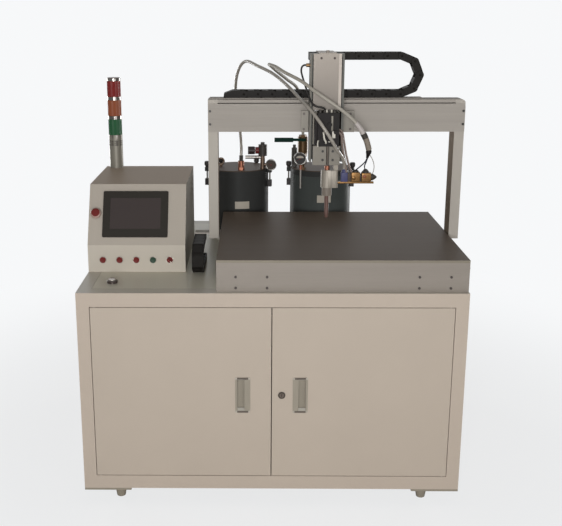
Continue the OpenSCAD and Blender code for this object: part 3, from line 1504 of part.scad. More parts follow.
// Valves, gauges, air regulator and dip tubes on the lids
module tank_fittings() color("#9a7f63") in_frame() {
    for (i = [0, 1]) difference() {
        rod_z([stand_x[i], stand_y, top_z + 25], dip_r, lid_z1 + 20 - top_z - 25);
        rod_z([stand_x[i], stand_y, top_z + 24], dip_r - 1.5, lid_z1 + 2 - top_z - 25);
    }
    // Outlet valve of the left tank
    translate([stand_x[0], stand_y, lid_z1]) difference() {
        union() {
            cylinder(r = 13, h = 10, $fn = 6);
            translate([0, 0, 10]) cylinder(r = 11.5, h = 24);
            translate([0, 0, 34]) cylinder(r = 7.5, h = feed_z0 - lid_z1 - 34);
        }
        translate([0, 0, -1]) cylinder(r = dip_r, h = 21);
    }
    // Ball valve of the right tank
    translate([stand_x[1], stand_y, lid_z1]) difference() {
        union() {
            cylinder(r = 12, h = 10, $fn = 6);
            translate([0, 0, 10]) cylinder(r = 8, h = 40);
            translate([0, 0, 50]) cylinder(r = 16, h = 13, $fn = 6);
            translate([0, 0, 63]) cylinder(r = 19, h = 62);
            translate([0, 0, 125]) cylinder(r = 15, h = sleeve_z0 - lid_z1 - 125, $fn = 6);
            rod_y([0, lever_y - stand_y + lever_t / 2 + 0.3, lever_z - lid_z1], 8, 20);
        }
        translate([0, 0, -1]) cylinder(r = dip_r, h = 21);
        rod_y([0, lever_y - stand_y, lever_z - lid_z1], lever_stem_r + run, 20);
    }
    // Air regulator of the left tank, its relief valve and its gauge
    translate([tank_xs[0], stand_y + 19, lid_z1]) {
        z = reg_z - lid_z1;
        rod_z([94, 0, 0], 9, z - 19);
        rod_z([94, 0, z - 20], 17, 42);
        rod_z([94, 0, z + 21], 8, 10);
        rod_x([66, 0, z], 13, 14);
        rod_x([54, 0, z], 4, 14);
        rod_x([28, 0, z - 26], 6.5, 60);
        rod_x([100, 0, 16], 6, 12);
        rod_y([126, -12, 16], 20, 24);
    }
    // Safety valve of the right tank
    translate([tank_xs[1] - 103, tank_y - 16, lid_z1]) {
        cylinder(r = 10, h = 14, $fn = 6);
        rod_z([0, 0, 13], 11, 62);
        rod_z([0, 0, 75], 6, 12);
    }
    // Gauge of the right tank in front of the valve, with the tube of its bleed cock
    translate([stand_x[1] - 12, stand_y, lid_z1]) {
        rod_y([0, -46, 48], 23, 22);
        rod_y([6, -26, 42], 7, 26);
        rod_z([3, -35, 6], 6, 22);
        rod_z([3, -35, -66], 4, 74);
    }
    // Lifting rings
    for (x = tank_xs) translate([x - 68, tank_y, lid_z1]) {
        rod_z([0, 0, 0], 6, 6);
        translate([0, 0, 20]) rotate([90, 0, 0]) rotate_extrude() translate([12, 0]) circle(r = 3.5);
    }
}

// Knob that sets the air pressure, on the regulator's spindle
module regulator_knob() color("#26221f") in_frame() translate([tank_xs[0], stand_y + 19, reg_z])
    difference() {
        union() {
            rod_x([38, 0, 0], 14, 27);
            for (k = [0 : 11]) rotate([30 * k, 0, 0]) block([38, -1.5, 12], [62, 1.5, 15]);
        }
        rod_x([53.5, 0, 0], 4 + run, 20);
    }

// Lever of the ball valve: a strip with a grip, on a stem in the valve
module tank_lever() color("#2f4a3c") in_frame() translate([lever_x, lever_y, lever_z]) {
    rod_y([0, 0, 0], lever_stem_r, 18);
    block([-lever_l, -lever_t / 2, -5], [10, lever_t / 2, 5]);
    block([-lever_l, -lever_t / 2 - 4, -8], [-lever_l * 0.35, lever_t / 2, 8]);
    translate([0, -lever_t / 2, 0]) rotate([90, 0, 0]) cylinder(r = 7, h = 4, $fn = 6);
}

module feed_hose() color("#a8742c") in_frame() hose(feed_route, feed_d, 8, 2);

module sleeve_hose() color("#9c5a50") in_frame() hose(sleeve_route, sleeve_d, 8, 2);

module head_cable() color("#1d1d1d") in_frame() hose(cable_route, cable_d, 8, 2);

cabinet_shell();
back_panel();
worktop();
feet();
hinge_pins();
mounting_plate();
controller();
motor_drives();
left_door();
right_door();
left_pull();
right_pull();
door_lock();
console_housing();
hmi_bezel();
hmi_screen();
button_collars();
button_one();
button_two();
button_three();
start_button();
mode_selector();
stop_button();
table_button();
tower_body();
lens_green();
lens_amber();
lens_red();
platform_frame();
platform_top();
y_guides();
y_screw();
y_chain();
cross_plate();
columns();
beam();
x_guides();
x_screw();
x_chain();
bridge_screws();
carriage_plate();
lift_housing();
lift_cover();
lift_guides();
lift_screw();
slide_plate();
dosing_valve();
mixer_rotor();
mixer_body();
nozzle();
side_valves();
tanks();
tank_lids();
lid_clamps();
tank_fittings();
regulator_knob();
tank_lever();
feed_hose();
sleeve_hose();
head_cable();
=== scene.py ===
import math
from collections import defaultdict

import bmesh
import bpy
from mathutils import Matrix, Vector


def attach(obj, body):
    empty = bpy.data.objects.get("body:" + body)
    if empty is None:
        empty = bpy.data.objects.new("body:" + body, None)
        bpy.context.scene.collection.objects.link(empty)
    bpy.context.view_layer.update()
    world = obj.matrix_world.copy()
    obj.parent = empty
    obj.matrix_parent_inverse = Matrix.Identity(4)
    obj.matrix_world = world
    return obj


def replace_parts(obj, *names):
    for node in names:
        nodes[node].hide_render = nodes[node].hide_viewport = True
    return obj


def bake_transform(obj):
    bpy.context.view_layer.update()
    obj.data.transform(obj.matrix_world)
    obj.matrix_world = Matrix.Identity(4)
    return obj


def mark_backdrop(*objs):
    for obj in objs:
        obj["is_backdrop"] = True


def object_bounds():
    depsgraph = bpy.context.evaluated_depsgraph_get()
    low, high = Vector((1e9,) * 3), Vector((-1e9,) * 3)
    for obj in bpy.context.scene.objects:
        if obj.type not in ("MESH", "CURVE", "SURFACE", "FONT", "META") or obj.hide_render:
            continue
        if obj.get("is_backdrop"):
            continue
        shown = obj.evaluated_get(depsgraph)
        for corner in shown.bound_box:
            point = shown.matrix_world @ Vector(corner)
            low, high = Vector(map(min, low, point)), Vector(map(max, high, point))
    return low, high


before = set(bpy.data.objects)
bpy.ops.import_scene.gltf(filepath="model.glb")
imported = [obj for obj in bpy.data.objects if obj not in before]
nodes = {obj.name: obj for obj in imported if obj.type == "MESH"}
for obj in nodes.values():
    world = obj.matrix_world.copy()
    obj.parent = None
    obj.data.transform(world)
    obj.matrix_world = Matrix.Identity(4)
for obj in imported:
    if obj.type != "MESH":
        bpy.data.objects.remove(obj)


def plain(value):
    """Nested lists of numbers, from what object_bounds() gives."""
    return [plain(v) for v in value] if hasattr(value, "__len__") else float(value)


size_before = plain(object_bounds())


# Places

# Cabinet coordinates are part.scad's: millimetres, X from the cabinet's middle, Y from its front and
# Z from the floor. The row frame is in metres, and its middle lies at ROW_X and ROW_Y.
ROW_X, ROW_Y = 18.5, 500
X, Y, Z = range(3)
UP = (0, 0, 1)
FRONT = (0, -1, 0)
SQUARE = 0.9  # a face whose normal has more than this along an axis is square to it

LOCK_X, PULL_Z = 32, 374
PULL_X = {"left": -90, "right": 90}
PULL_WINDOW_W, PULL_WINDOW_H = 35, 105
CONSOLE_LEAN = math.radians(28.15)
STOP_BUTTON = (-575, 281.4, 894.7)
SELECTOR_FACE = (-331, 223, 748.4)
TOWER_X, TOWER_Y, TOWER_R = -561, 679.5, 24.5
COVER_GLINT_X = 212.5
HOUSING_EDGE_X = 127
Y_CHAIN_X, Y_CHAIN_Y, Y_CHAIN_Z = -237, 233, 755.5  # middle of its front bend
VALVE_TOP_Y, VALVE_TOP_Z = 268, 1224
OUTLET_X = -104
LEFT_GAUGE, LEFT_GAUGE_R = (10, 810, 968), 20
RIGHT_GAUGE, RIGHT_GAUGE_R = (118, 757, 1000), 23
LEFT_TANK_X, RIGHT_TANK_X, TANK_Y = -116, 204, 879
LABEL_R = 0.1169, 0.1174


def P(x, y, z):
    """Cabinet coordinates in millimetres, as a point of the row frame in metres."""
    return Vector(((x - ROW_X) / 1000, (y - ROW_Y) / 1000, z / 1000))


def cab(c):
    """Cabinet coordinates in millimetres of a point of the row frame."""
    return c.x * 1000 + ROW_X, c.y * 1000 + ROW_Y, c.z * 1000


# Camera

CAMERA_PLACE = (-0.0747, -3.149, 1.5333)
YAW, PITCH, ROLL = -0.015, 0.256, -0.003
forward = Vector((math.sin(YAW) * math.cos(PITCH), math.cos(YAW) * math.cos(PITCH), -math.sin(PITCH)))
right = Vector((math.cos(YAW), -math.sin(YAW), 0))
up = right.cross(forward)
right, up = (
    right * math.cos(ROLL) + up * math.sin(ROLL),
    up * math.cos(ROLL) - right * math.sin(ROLL),
)
lens = bpy.data.cameras.new("view")
lens.sensor_width = 36
lens.lens = 58.44
lens.shift_x = 0.0723
lens.shift_y = -0.0211
lens.clip_end = 100
camera = bpy.data.objects.new("view", lens)
bpy.context.scene.collection.objects.link(camera)
turn = Matrix((right, up, -forward)).transposed().to_4x4()
camera.matrix_world = Matrix.Translation(CAMERA_PLACE) @ turn
bpy.context.scene.camera = camera
bpy.context.scene.view_settings.view_transform = "Standard"


# Mesh pieces


def finish_piece(name, bm, material, body=None, smooth=40):
    """A mesh object from bm, with its material, riding on body. Edges over smooth degrees are sharp."""
    bmesh.ops.recalc_face_normals(bm, faces=bm.faces)
    mesh = bpy.data.meshes.new(name)
    bm.to_mesh(mesh)
    bm.free()
    mesh.materials.append(material)
    mesh.shade_smooth()
    mesh.set_sharp_from_angle(angle=math.radians(smooth))
    obj = bpy.data.objects.new(name, mesh)
    bpy.context.scene.collection.objects.link(obj)
    if body:
        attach(obj, body)
    return obj


def circle(centre, u, v, radius, count):
    angles = [2 * math.pi * k / count for k in range(count)]
    return [centre + u * (radius * math.cos(a)) + v * (radius * math.sin(a)) for a in angles]


def square_to(axis):
    """A direction square to axis."""
    helper = Vector((0, 0, 1)) if abs(axis.z) < SQUARE else Vector((1, 0, 0))
    return axis.cross(helper).normalized()


def add_loft(bm, sections):
    """A closed solid through sections, each a ring of as many points."""
    rings = [[bm.verts.new(p) for p in section] for section in sections]
    bm.faces.new(rings[0])
    for a, b in zip(rings, rings[1:]):
        for k in range(len(a)):
            after = (k + 1) % len(a)
            bm.faces.new((a[k], a[after], b[after], b[k]))
    bm.faces.new(rings[-1])


def add_tube(bm, points, radius, count):
    """A round tube along points, with closed ends. radius is one number, or one for each point."""
    radii = radius if hasattr(radius, "__len__") else [radius] * len(points)
    sections = []
    u = None
    for i, p in enumerate(points):
        before = points[max(i - 1, 0)]
        after = points[min(i + 1, len(points) - 1)]
        tangent = (after - before).normalized()
        if u is None:
            u = square_to(tangent)
        u = (u - tangent * u.dot(tangent)).normalized()
        sections.append(circle(p, u, tangent.cross(u), radii[i], count))
    add_loft(bm, sections)


def add_lathe(bm, profile, origin, axis, count):
    """A turned solid. profile is a list of (radius, distance along axis) in metres."""
    smallest = 1e-5
    axis = Vector(axis).normalized()
    u = square_to(axis)
    v = axis.cross(u)
    sections = [
        circle(origin + axis * along, u, v, max(radius, smallest), count) for radius, along in profile
    ]
    add_loft(bm, sections)


def add_block(bm, low, high, edge, steps):
    """A block with rounded edges between two corners."""
    low, high = Vector(low), Vector(high)
    corners = [
        bm.verts.new((low.x if i & 1 else high.x, low.y if i & 2 else high.y, low.z if i & 4 else high.z))
        for i in range(8)
    ]
    sides = ((0, 1, 3, 2), (4, 6, 7, 5), (0, 4, 5, 1), (2, 3, 7, 6), (0, 2, 6, 4), (1, 5, 7, 3))
    edges = []
    for side in sides:
        face = bm.faces.new([corners[i] for i in side])
        edges += [e for e in face.edges if e not in edges]
    bmesh.ops.bevel(bm, geom=edges, offset=edge, segments=steps, affect="EDGES", profile=0.6)


def loft_piece(name, sections, material, body=None, smooth=40):
    bm = bmesh.new()
    add_loft(bm, sections)
    return finish_piece(name, bm, material, body, smooth)


def block_piece(name, low, high, material, edge):
    """A block on the head, from cabinet millimetres, with its edges rounded by edge."""
    bm = bmesh.new()
    add_block(bm, P(*low), P(*high), edge / 1000, 3)
    return finish_piece(name, bm, material, "head")


def turned_piece(name, origin, axis, profile, material, body="head", count=32):
    """A turned piece. profile is (radius, distance) in millimetres from origin along axis."""
    bm = bmesh.new()
    add_lathe(bm, [(r / 1000, d / 1000) for r, d in profile], P(*origin), axis, count)
    return finish_piece(name, bm, material, body)


# Materials


def add_node(tree, kind, values=None, **settings):
    """A shader node with its settings, and with values on its inputs."""
    node = tree.nodes.new(kind)
    for name, value in settings.items():
        setattr(node, name, value)
    for name, value in (values or {}).items():
        node.inputs[name].default_value = value
    return node


def look(
    name,
    colour,
    rough,
    metal=0.0,
    vary=0.06,
    patch=6.0,
    grain=420.0,
    stretch=(1, 1, 1),
    bump=0.05,
    coat=0.0,
    fade=None,
    spec=0.25,
):
    """A procedural material. grain is the fine texture's scale, stretch its scale along each axis, patch
    the scale of the slow change of colour and vary that change's share.
    fade is (low z, high z, share of the colour at the low end)."""
    rough_spread, bump_height, coat_rough = 0.06, 0.0004, 0.12
    material = bpy.data.materials.new(name)
    material.use_nodes = True
    tree = material.node_tree
    link = tree.links.new
    place = add_node(tree, "ShaderNodeTexCoord")
    mapping = add_node(tree, "ShaderNodeMapping", {"Scale": stretch})
    link(place.outputs["Object"], mapping.inputs["Vector"])
    fine = add_node(tree, "ShaderNodeTexNoise", {"Scale": grain, "Detail": 3})
    link(mapping.outputs["Vector"], fine.inputs["Vector"])
    slow = add_node(tree, "ShaderNodeTexNoise", {"Scale": patch, "Detail": 2})
    link(mapping.outputs["Vector"], slow.inputs["Vector"])

    # Base colour: half of the change from each noise
    half = add_node(tree, "ShaderNodeMath", {1: 0.5}, operation="MULTIPLY")
    link(slow.outputs["Fac"], half.inputs[0])
    both = add_node(tree, "ShaderNodeMath", {1: 0.5}, operation="MULTIPLY_ADD")
    link(fine.outputs["Fac"], both.inputs[0])
    link(half.outputs[0], both.inputs[2])
    ends = {"A": [c * (1 - vary) for c in colour] + [1], "B": [c * (1 + vary) for c in colour] + [1]}
    mix = add_node(tree, "ShaderNodeMix", ends, data_type="RGBA")
    link(both.outputs[0], mix.inputs["Factor"])
    result = mix.outputs["Result"]
    if fade:
        split = add_node(tree, "ShaderNodeSeparateXYZ")
        link(place.outputs["Object"], split.inputs[0])
        heights = {"From Min": fade[0], "From Max": fade[1], "To Min": fade[2]}
        ramp = add_node(tree, "ShaderNodeMapRange", heights)
        link(split.outputs["Z"], ramp.inputs["Value"])
        shade = add_node(tree, "ShaderNodeMix", data_type="RGBA", blend_type="MULTIPLY")
        shade.inputs["Factor"].default_value = 1
        link(result, shade.inputs["A"])
        link(ramp.outputs["Result"], shade.inputs["B"])
        result = shade.outputs["Result"]

    shader = tree.nodes["Principled BSDF"]
    link(result, shader.inputs["Base Color"])
    spread = {"To Min": max(rough - rough_spread, 0.02), "To Max": min(rough + rough_spread, 1)}
    level = add_node(tree, "ShaderNodeMapRange", spread)
    link(fine.outputs["Fac"], level.inputs["Value"])
    link(level.outputs["Result"], shader.inputs["Roughness"])
    if bump:
        relief = add_node(tree, "ShaderNodeBump", {"Strength": bump, "Distance": bump_height})
        link(fine.outputs["Fac"], relief.inputs["Height"])
        link(relief.outputs["Normal"], shader.inputs["Normal"])
    shader.inputs["Metallic"].default_value = metal
    shader.inputs["Specular IOR Level"].default_value = spec
    shader.inputs["Coat Weight"].default_value = coat
    shader.inputs["Coat Roughness"].default_value = coat_rough
    material.diffuse_color = list(colour) + [1]
    return material


# Cabinet
cabinet_paint = look("cabinet_paint", (0.465, 0.395, 0.33), 0.5, bump=0.1)
door_paint = look("door_paint", (0.455, 0.39, 0.325), 0.5, bump=0.1)
rim_paint = look("rim_paint", (0.56, 0.52, 0.45), 0.34, spec=0.4, bump=0.06)
deck_steel = look("deck_steel", (0.65, 0.62, 0.52), 0.3, metal=0.05, spec=0.3, bump=0.03)
deck_edge = look("deck_edge", (0.24, 0.22, 0.18), 0.35, metal=0.2)
foot_steel = look("foot_steel", (0.27, 0.24, 0.19), 0.5, metal=0.1)
pin_steel = look("pin_steel", (0.6, 0.58, 0.55), 0.3, metal=0.9)
zinc_plate = look("zinc_plate", (0.6, 0.58, 0.53), 0.4, metal=0.7, patch=60, vary=0.12)
control_plastic = look("control_plastic", (0.045, 0.05, 0.055), 0.55)
drive_plastic = look("drive_plastic", (0.16, 0.17, 0.18), 0.5)
pull_paint = look("pull_paint", (0.28, 0.25, 0.2), 0.4)
# Painted shade on the pulls' dark edges and downward slopes, painted highlights on their upward slopes and
# corners
pull_painted_shade = look("pull_painted_shade", (0.12, 0.1, 0.085), 0.35)
pull_rim = look("pull_rim", (0.3, 0.27, 0.22), 0.3)
pull_glint = look("pull_glint", (0.55, 0.52, 0.46), 0.3)
pull_corner_highlight = look("pull_corner_highlight", (0.5, 0.46, 0.4), 0.25, metal=0.3)
lock_plug = look("lock_plug", (0.16, 0.13, 0.11), 0.35, metal=0.5)
lock_metal = look("lock_metal", (0.09, 0.075, 0.065), 0.35, metal=0.6)
chrome_trim = look("chrome_trim", (0.3, 0.28, 0.26), 0.16, metal=1.0, bump=0.0)

# Console and buttons
console_paint = look("console_paint", (0.51, 0.465, 0.4), 0.5, bump=0.1, spec=0.12)
# Lit and shaded copies of the console's paint: painted shade on the slope and the top, painted light on the
# sides
console_slope_painted_shade = look("console_slope_painted_shade", (0.445, 0.4, 0.345), 0.5, bump=0.1, spec=0.12)
console_top_painted_shade = look("console_top_painted_shade", (0.46, 0.37, 0.29), 0.5, bump=0.1, spec=0.1)
console_side_painted_light = look("console_side_painted_light", (0.56, 0.535, 0.48), 0.5, bump=0.1, spec=0.2)
bezel_plastic = look("bezel_plastic", (0.023, 0.02, 0.016), 0.5, spec=0.15)
screen_glass = look("screen_glass", (0.046, 0.035, 0.033), 0.2, spec=0.2, bump=0.0)
collar_metal = look("collar_metal", (0.42, 0.38, 0.33), 0.3, metal=0.6)
red_cap = look("red_cap", (0.15, 0.022, 0.02), 0.35, spec=0.12, bump=0.02)
# Pale ring round the stop button's cap: partly a paler rim, partly painted highlight
cap_rim_and_highlight = look("cap_rim_and_highlight", (0.38, 0.26, 0.22), 0.35)
green_cap = look("green_cap", (0.035, 0.066, 0.045), 0.35, spec=0.12, bump=0.02)
button_top = look("button_top", (0.36, 0.32, 0.29), 0.3, metal=0.6)
button_side = look("button_side", (0.45, 0.42, 0.39), 0.2, metal=0.9)
pale_mark = look("pale_mark", (0.6, 0.57, 0.5), 0.4)

# Signal tower
tower_tube = look("tower_tube", (0.23, 0.215, 0.18), 0.4, metal=0.25, bump=0.02)
slot_dark = look("slot_dark", (0.06, 0.045, 0.04), 0.6)
band_dark = look("band_dark", (0.1, 0.09, 0.075), 0.5)
lens_cap = look("lens_cap", (0.1, 0.06, 0.055), 0.3, coat=0.3)
green_lens = look("green_lens", (0.022, 0.1, 0.042), 0.3, spec=0.15, bump=0.0)
amber_lens = look("amber_lens", (0.27, 0.078, 0.034), 0.3, spec=0.15, bump=0.0)
red_lens = look("red_lens", (0.2, 0.02, 0.018), 0.3, spec=0.15, bump=0.0)

# Platform, gantry and lift
platform_metal = look(
    "platform_metal", (0.256, 0.227, 0.198), 0.42,
    metal=0.12, stretch=(0.03, 1, 1), patch=40, vary=0.12,
)
platform_plate = look(
    "platform_plate", (0.118, 0.09, 0.068), 0.45,
    stretch=(0.02, 1, 1), patch=30, vary=0.16, spec=0.08,
)
plate_edge = look("plate_edge", (0.21, 0.185, 0.145), 0.35, metal=0.3)
screw_dull = look("screw_dull", (0.07, 0.06, 0.055), 0.4, metal=0.5)
screw_black = look("screw_black", (0.03, 0.028, 0.026), 0.35, metal=0.3)
rail_steel = look("rail_steel", (0.3, 0.29, 0.28), 0.3, metal=0.7)
chain_plastic = look("chain_plastic", (0.013, 0.0115, 0.01), 0.5, spec=0.1)
frame_aluminium = look(
    "frame_aluminium", (0.4, 0.37, 0.33), 0.55,
    metal=0.1, stretch=(1, 1, 0.04), patch=20, spec=0.1,
)
# Painted shade on the gantry's inner sides: a darker copy of the frame's aluminium
frame_inner_painted_shade = look(
    "frame_inner_painted_shade", (0.25, 0.2, 0.155), 0.7,
    spec=0.1, stretch=(1, 1, 0.03), patch=60, vary=0.25,
)
beam_aluminium = look(
    "beam_aluminium", (0.353, 0.323, 0.29), 0.6,
    spec=0.2, stretch=(0.02, 1, 1), patch=60, vary=0.13,
)
carriage_metal = look("carriage_metal", (0.18, 0.166, 0.142), 0.42, metal=0.25)
slide_metal = look("slide_metal", (0.15, 0.137, 0.115), 0.42, metal=0.25)
# Darker towards the bottom through fade: painted shade from the hoses in front of the cover
cover_metal = look(
    "cover_metal", (0.29, 0.255, 0.222), 0.45,
    metal=0.15, stretch=(1, 1, 0.04), patch=20, fade=(1.06, 1.4, 0.25),
)
cover_glint = look("cover_glint", (0.52, 0.46, 0.405), 0.4, stretch=(1, 1, 0.04))
housing_metal = look(
    "housing_metal", (0.115, 0.115, 0.105), 0.5,
    metal=0.1, spec=0.1, stretch=(1, 1, 0.04),
)
housing_edge = look("housing_edge", (0.2, 0.185, 0.16), 0.5, spec=0.1, stretch=(1, 1, 0.04))

# Head
valve_black = look("valve_black", (0.013, 0.011, 0.0105), 0.5, spec=0.12)
rotor_metal = look("rotor_metal", (0.12, 0.1, 0.085), 0.35, metal=0.6)
copper = look("copper", (0.3, 0.12, 0.075), 0.3, metal=0.7)
# Strong vertical streaks: partly brushed grain, partly painted reflection bands
mixer_metal = look(
    "mixer_metal", (0.29, 0.26, 0.22), 0.4,
    metal=0.2, stretch=(1, 1, 0.03), patch=150, vary=0.8,
)
arm_metal = look("arm_metal", (0.24, 0.215, 0.18), 0.4, metal=0.2)
nozzle_plastic = look("nozzle_plastic", (0.13, 0.073, 0.06), 0.35, coat=0.2)
nut_plastic = look("nut_plastic", (0.215, 0.185, 0.155), 0.5)
brass_parts = look("brass_parts", (0.14, 0.074, 0.026), 0.33, metal=0.7, patch=110, vary=0.5)
blue_fitting = look("blue_fitting", (0.055, 0.057, 0.14), 0.4, spec=0.2)
dark_fitting = look("dark_fitting", (0.04, 0.035, 0.03), 0.45)
orange_cap = look("orange_cap", (0.22, 0.07, 0.03), 0.4)

# Tanks
tank_paint = look("tank_paint", (0.041, 0.042, 0.041), 0.38, spec=0.06, patch=12, vary=0.2)
# Painted light: a lighter copy of the tanks' paint, for the right tank
tank_painted_light = look("tank_painted_light", (0.062, 0.069, 0.066), 0.38, spec=0.06, patch=12, vary=0.2)
lid_metal = look("lid_metal", (0.075, 0.055, 0.043), 0.5, metal=0.1, spec=0.12)
clamp_plastic = look("clamp_plastic", (0.03, 0.026, 0.025), 0.4)
fitting_brass = look("fitting_brass", (0.2, 0.12, 0.06), 0.3, metal=0.8)
valve_brass = look("valve_brass", (0.075, 0.043, 0.018), 0.32, metal=0.5, patch=40, vary=0.25)
bronze = look("bronze", (0.13, 0.09, 0.065), 0.35, metal=0.7)
bright_metal = look("bright_metal", (0.3, 0.28, 0.26), 0.3, metal=0.6)
ring_metal = look("ring_metal", (0.5, 0.48, 0.45), 0.2, metal=1.0)
red_ring = look("red_ring", (0.12, 0.012, 0.012), 0.4)
gauge_face = look("gauge_face", (0.05, 0.035, 0.025), 0.4, spec=0.15)
gauge_dark = look("gauge_dark", (0.03, 0.028, 0.027), 0.4, spec=0.15)
gauge_case = look("gauge_case", (0.07, 0.055, 0.05), 0.25, metal=0.5)
label_sheet = look("label_sheet", (0.42, 0.38, 0.32), 0.5)
knob_plastic = look("knob_plastic", (0.03, 0.02, 0.02), 0.4)
lever_grip = look("lever_grip", (0.0, 0.02, 0.013), 0.45, spec=0.05)

# Hoses and wires
feed_tube = look("feed_tube", (0.30, 0.275, 0.24), 0.25, coat=0.3, bump=0.02)
sleeve_tube = look("sleeve_tube", (0.36, 0.335, 0.29), 0.5, grain=900, bump=0.12)
sleeve_pale = look("sleeve_pale", (0.45, 0.41, 0.39), 0.4, coat=0.2)
sleeve_dark_lower = look("sleeve_dark_lower", (0.22, 0.185, 0.15), 0.5)
cable_rubber = look("cable_rubber", (0.02, 0.018, 0.017), 0.5)
wire_blue = look("wire_blue", (0.012, 0.016, 0.03), 0.4)
pink_tube = look("pink_tube", (0.2, 0.15, 0.13), 0.35, coat=0.2)


# Looks of the CAD nodes


def by_place(obj, materials, rule):
    """Gives each face the material that rule(centre, normal) picks, as an index into materials."""
    obj.data.materials.clear()
    for m in materials:
        obj.data.materials.append(m)
    for face in obj.data.polygons:
        face.material_index = rule(face.center, face.normal)


for material, names in (
    (cabinet_paint, "cabinet_shell back_panel"),
    (deck_steel, "worktop"),
    (foot_steel, "feet"),
    (pin_steel, "hinge_pins"),
    (zinc_plate, "mounting_plate"),
    (control_plastic, "controller"),
    (drive_plastic, "motor_drives"),
    (door_paint, "left_door right_door"),
    (pull_paint, "left_pull right_pull"),
    (chrome_trim, "door_lock table_button"),
    (console_paint, "console_housing"),
    (bezel_plastic, "hmi_bezel"),
    (screen_glass, "hmi_screen"),
    (collar_metal, "button_collars"),
    (red_cap, "button_one button_two button_three mode_selector stop_button"),
    (green_cap, "start_button"),
    (tower_tube, "tower_body"),
    (green_lens, "lens_green"),
    (amber_lens, "lens_amber"),
    (red_lens, "lens_red"),
    (platform_metal, "platform_frame"),
    (platform_plate, "platform_top"),
    (frame_aluminium, "cross_plate columns"),
    (beam_aluminium, "beam"),
    (rail_steel, "y_guides y_screw x_guides x_screw lift_guides lift_screw"),
    (screw_black, "bridge_screws"),
    (slide_metal, "carriage_plate slide_plate"),
    (housing_metal, "lift_housing"),
    (cover_metal, "lift_cover"),
    (valve_black, "dosing_valve"),
    (mixer_metal, "mixer_body"),
    (rotor_metal, "mixer_rotor"),
    (nozzle_plastic, "nozzle"),
    (brass_parts, "side_valves"),
    (tank_paint, "tanks"),
    (lid_metal, "tank_lids"),
    (clamp_plastic, "lid_clamps"),
    (fitting_brass, "tank_fittings"),
    (knob_plastic, "regulator_knob"),
    (lever_grip, "tank_lever"),
):
    for node in names.split():
        by_place(nodes[node], [material], lambda c, n: 0)


# Nodes of more than one material

# A rule gets a face's cabinet coordinates and its normal, and returns the index of its material.
# Index 0 is the body of the part, and the comments name the rest.


def paint(node, rule, *materials):
    by_place(nodes[node], materials, lambda c, n: rule(*cab(c), n))


# Front edge of the deck, edges of the platform's plate, and the cabinet's rim around the deck
paint("worktop", lambda x, y, z, n: int(n.y < -0.7), deck_steel, deck_edge)
paint("platform_top", lambda x, y, z, n: int(abs(n.z) < 0.5), platform_plate, plate_edge)
paint("cabinet_shell", lambda x, y, z, n: int(n.z > SQUARE and z > 700), cabinet_paint, rim_paint)

# Screw heads, which stand out of the platform's frame and of the carriage
paint("platform_frame", lambda x, y, z, n: int(y < 20.9 or x > 600.2), platform_metal, screw_dull)
paint("carriage_plate", lambda x, y, z, n: int(y < 351.9), carriage_metal, screw_dull)

# Top of the deck's button and its collar, below the console's
paint("table_button", lambda x, y, z, n: int(n.z > SQUARE), button_side, button_top)
paint("button_collars", lambda x, y, z, n: int(z < 720), collar_metal, gauge_case)

# The console's slope and top, painted darker as painted shade, and its sides, painted lighter as painted
# light
paint(
    "console_housing",
    lambda x, y, z, n: (
        1 if n.y < -0.6 and n.z > 0.3 else 2 if n.z > SQUARE else 3 if abs(n.x) > SQUARE else 0
    ),
    console_paint, console_slope_painted_shade, console_top_painted_shade, console_side_painted_light,
)


def cap_part(x, y, z, n):
    """The stop button's cap, or the pale ring around it, which is partly a paler rim and partly painted
    highlight.
    """
    cap_r = 13.9
    slope = Vector((0, -math.cos(CONSOLE_LEAN), math.sin(CONSOLE_LEAN)))
    v = P(x, y, z) - P(*STOP_BUTTON)
    return int((v - slope * v.dot(slope)).length > cap_r / 1000)


paint("stop_button", cap_part, red_cap, cap_rim_and_highlight)

# Metal ring of the lock
paint(
    "right_door",
    lambda x, y, z, n: int(y < -0.1 and abs(x - LOCK_X) < 20 and abs(z - PULL_Z) < 20),
    door_paint, lock_metal,
)


def tower_part(x, y, z, n):
    """The tower's foot, its bright mast between the lenses, its dark neck and its cap."""
    if z > 1305:
        return 3
    if z > 1091.2:
        return 1
    return 2 if z > 1055 and math.hypot(x - TOWER_X, y - TOWER_Y) < 23.2 else 0


paint("tower_body", tower_part, tower_tube, chrome_trim, slot_dark, lens_cap)

# The gantry's inner sides, painted darker as painted shade
paint(
    "columns",
    lambda x, y, z, n: int(n.x < -SQUARE and x > 600 or n.x > SQUARE and x < -170),
    frame_aluminium, frame_inner_painted_shade,
)

# The slide's groove and screw heads
paint(
    "slide_plate",
    lambda x, y, z, n: (
        2 if y < 263.9 else 1 if 175.9 < x < 186.1 and y < 281 and abs(n.y) < SQUARE else 0
    ),
    slide_metal, slot_dark, screw_black,
)

# The nozzle's nut, the shaft's copper coupling, and the arm beside the mixer
paint("nozzle", lambda x, y, z, n: int(z > 956.5), nozzle_plastic, nut_plastic)
paint("mixer_rotor", lambda x, y, z, n: int(1040 < z < 1056), rotor_metal, copper)
paint("mixer_body", lambda x, y, z, n: int(y > 261.2 and x > 188), mixer_metal, arm_metal)


def side_valve_part(x, y, z, n):
    """The brass valves, the blue check valve, the dark end plug and the orange caps."""
    if 227.9 < x < 248.1 and z > 990.9:
        return 1
    if x > 329.6 and z > 1000:
        return 2
    return 3 if x > 290 and z > 1018.9 else 0


paint("side_valves", side_valve_part, brass_parts, blue_fitting, dark_fitting, orange_cap)

# The right tank, painted lighter as painted light, the lids' rims, and the clamps' rods
paint("tanks", lambda x, y, z, n: int(x > 60), tank_paint, tank_painted_light)
paint("tank_lids", lambda x, y, z, n: int(n.z < 0.6), lid_metal, tank_paint)
paint("lid_clamps", lambda x, y, z, n: int(902.2 < z < 947.9), clamp_plastic, slide_metal)


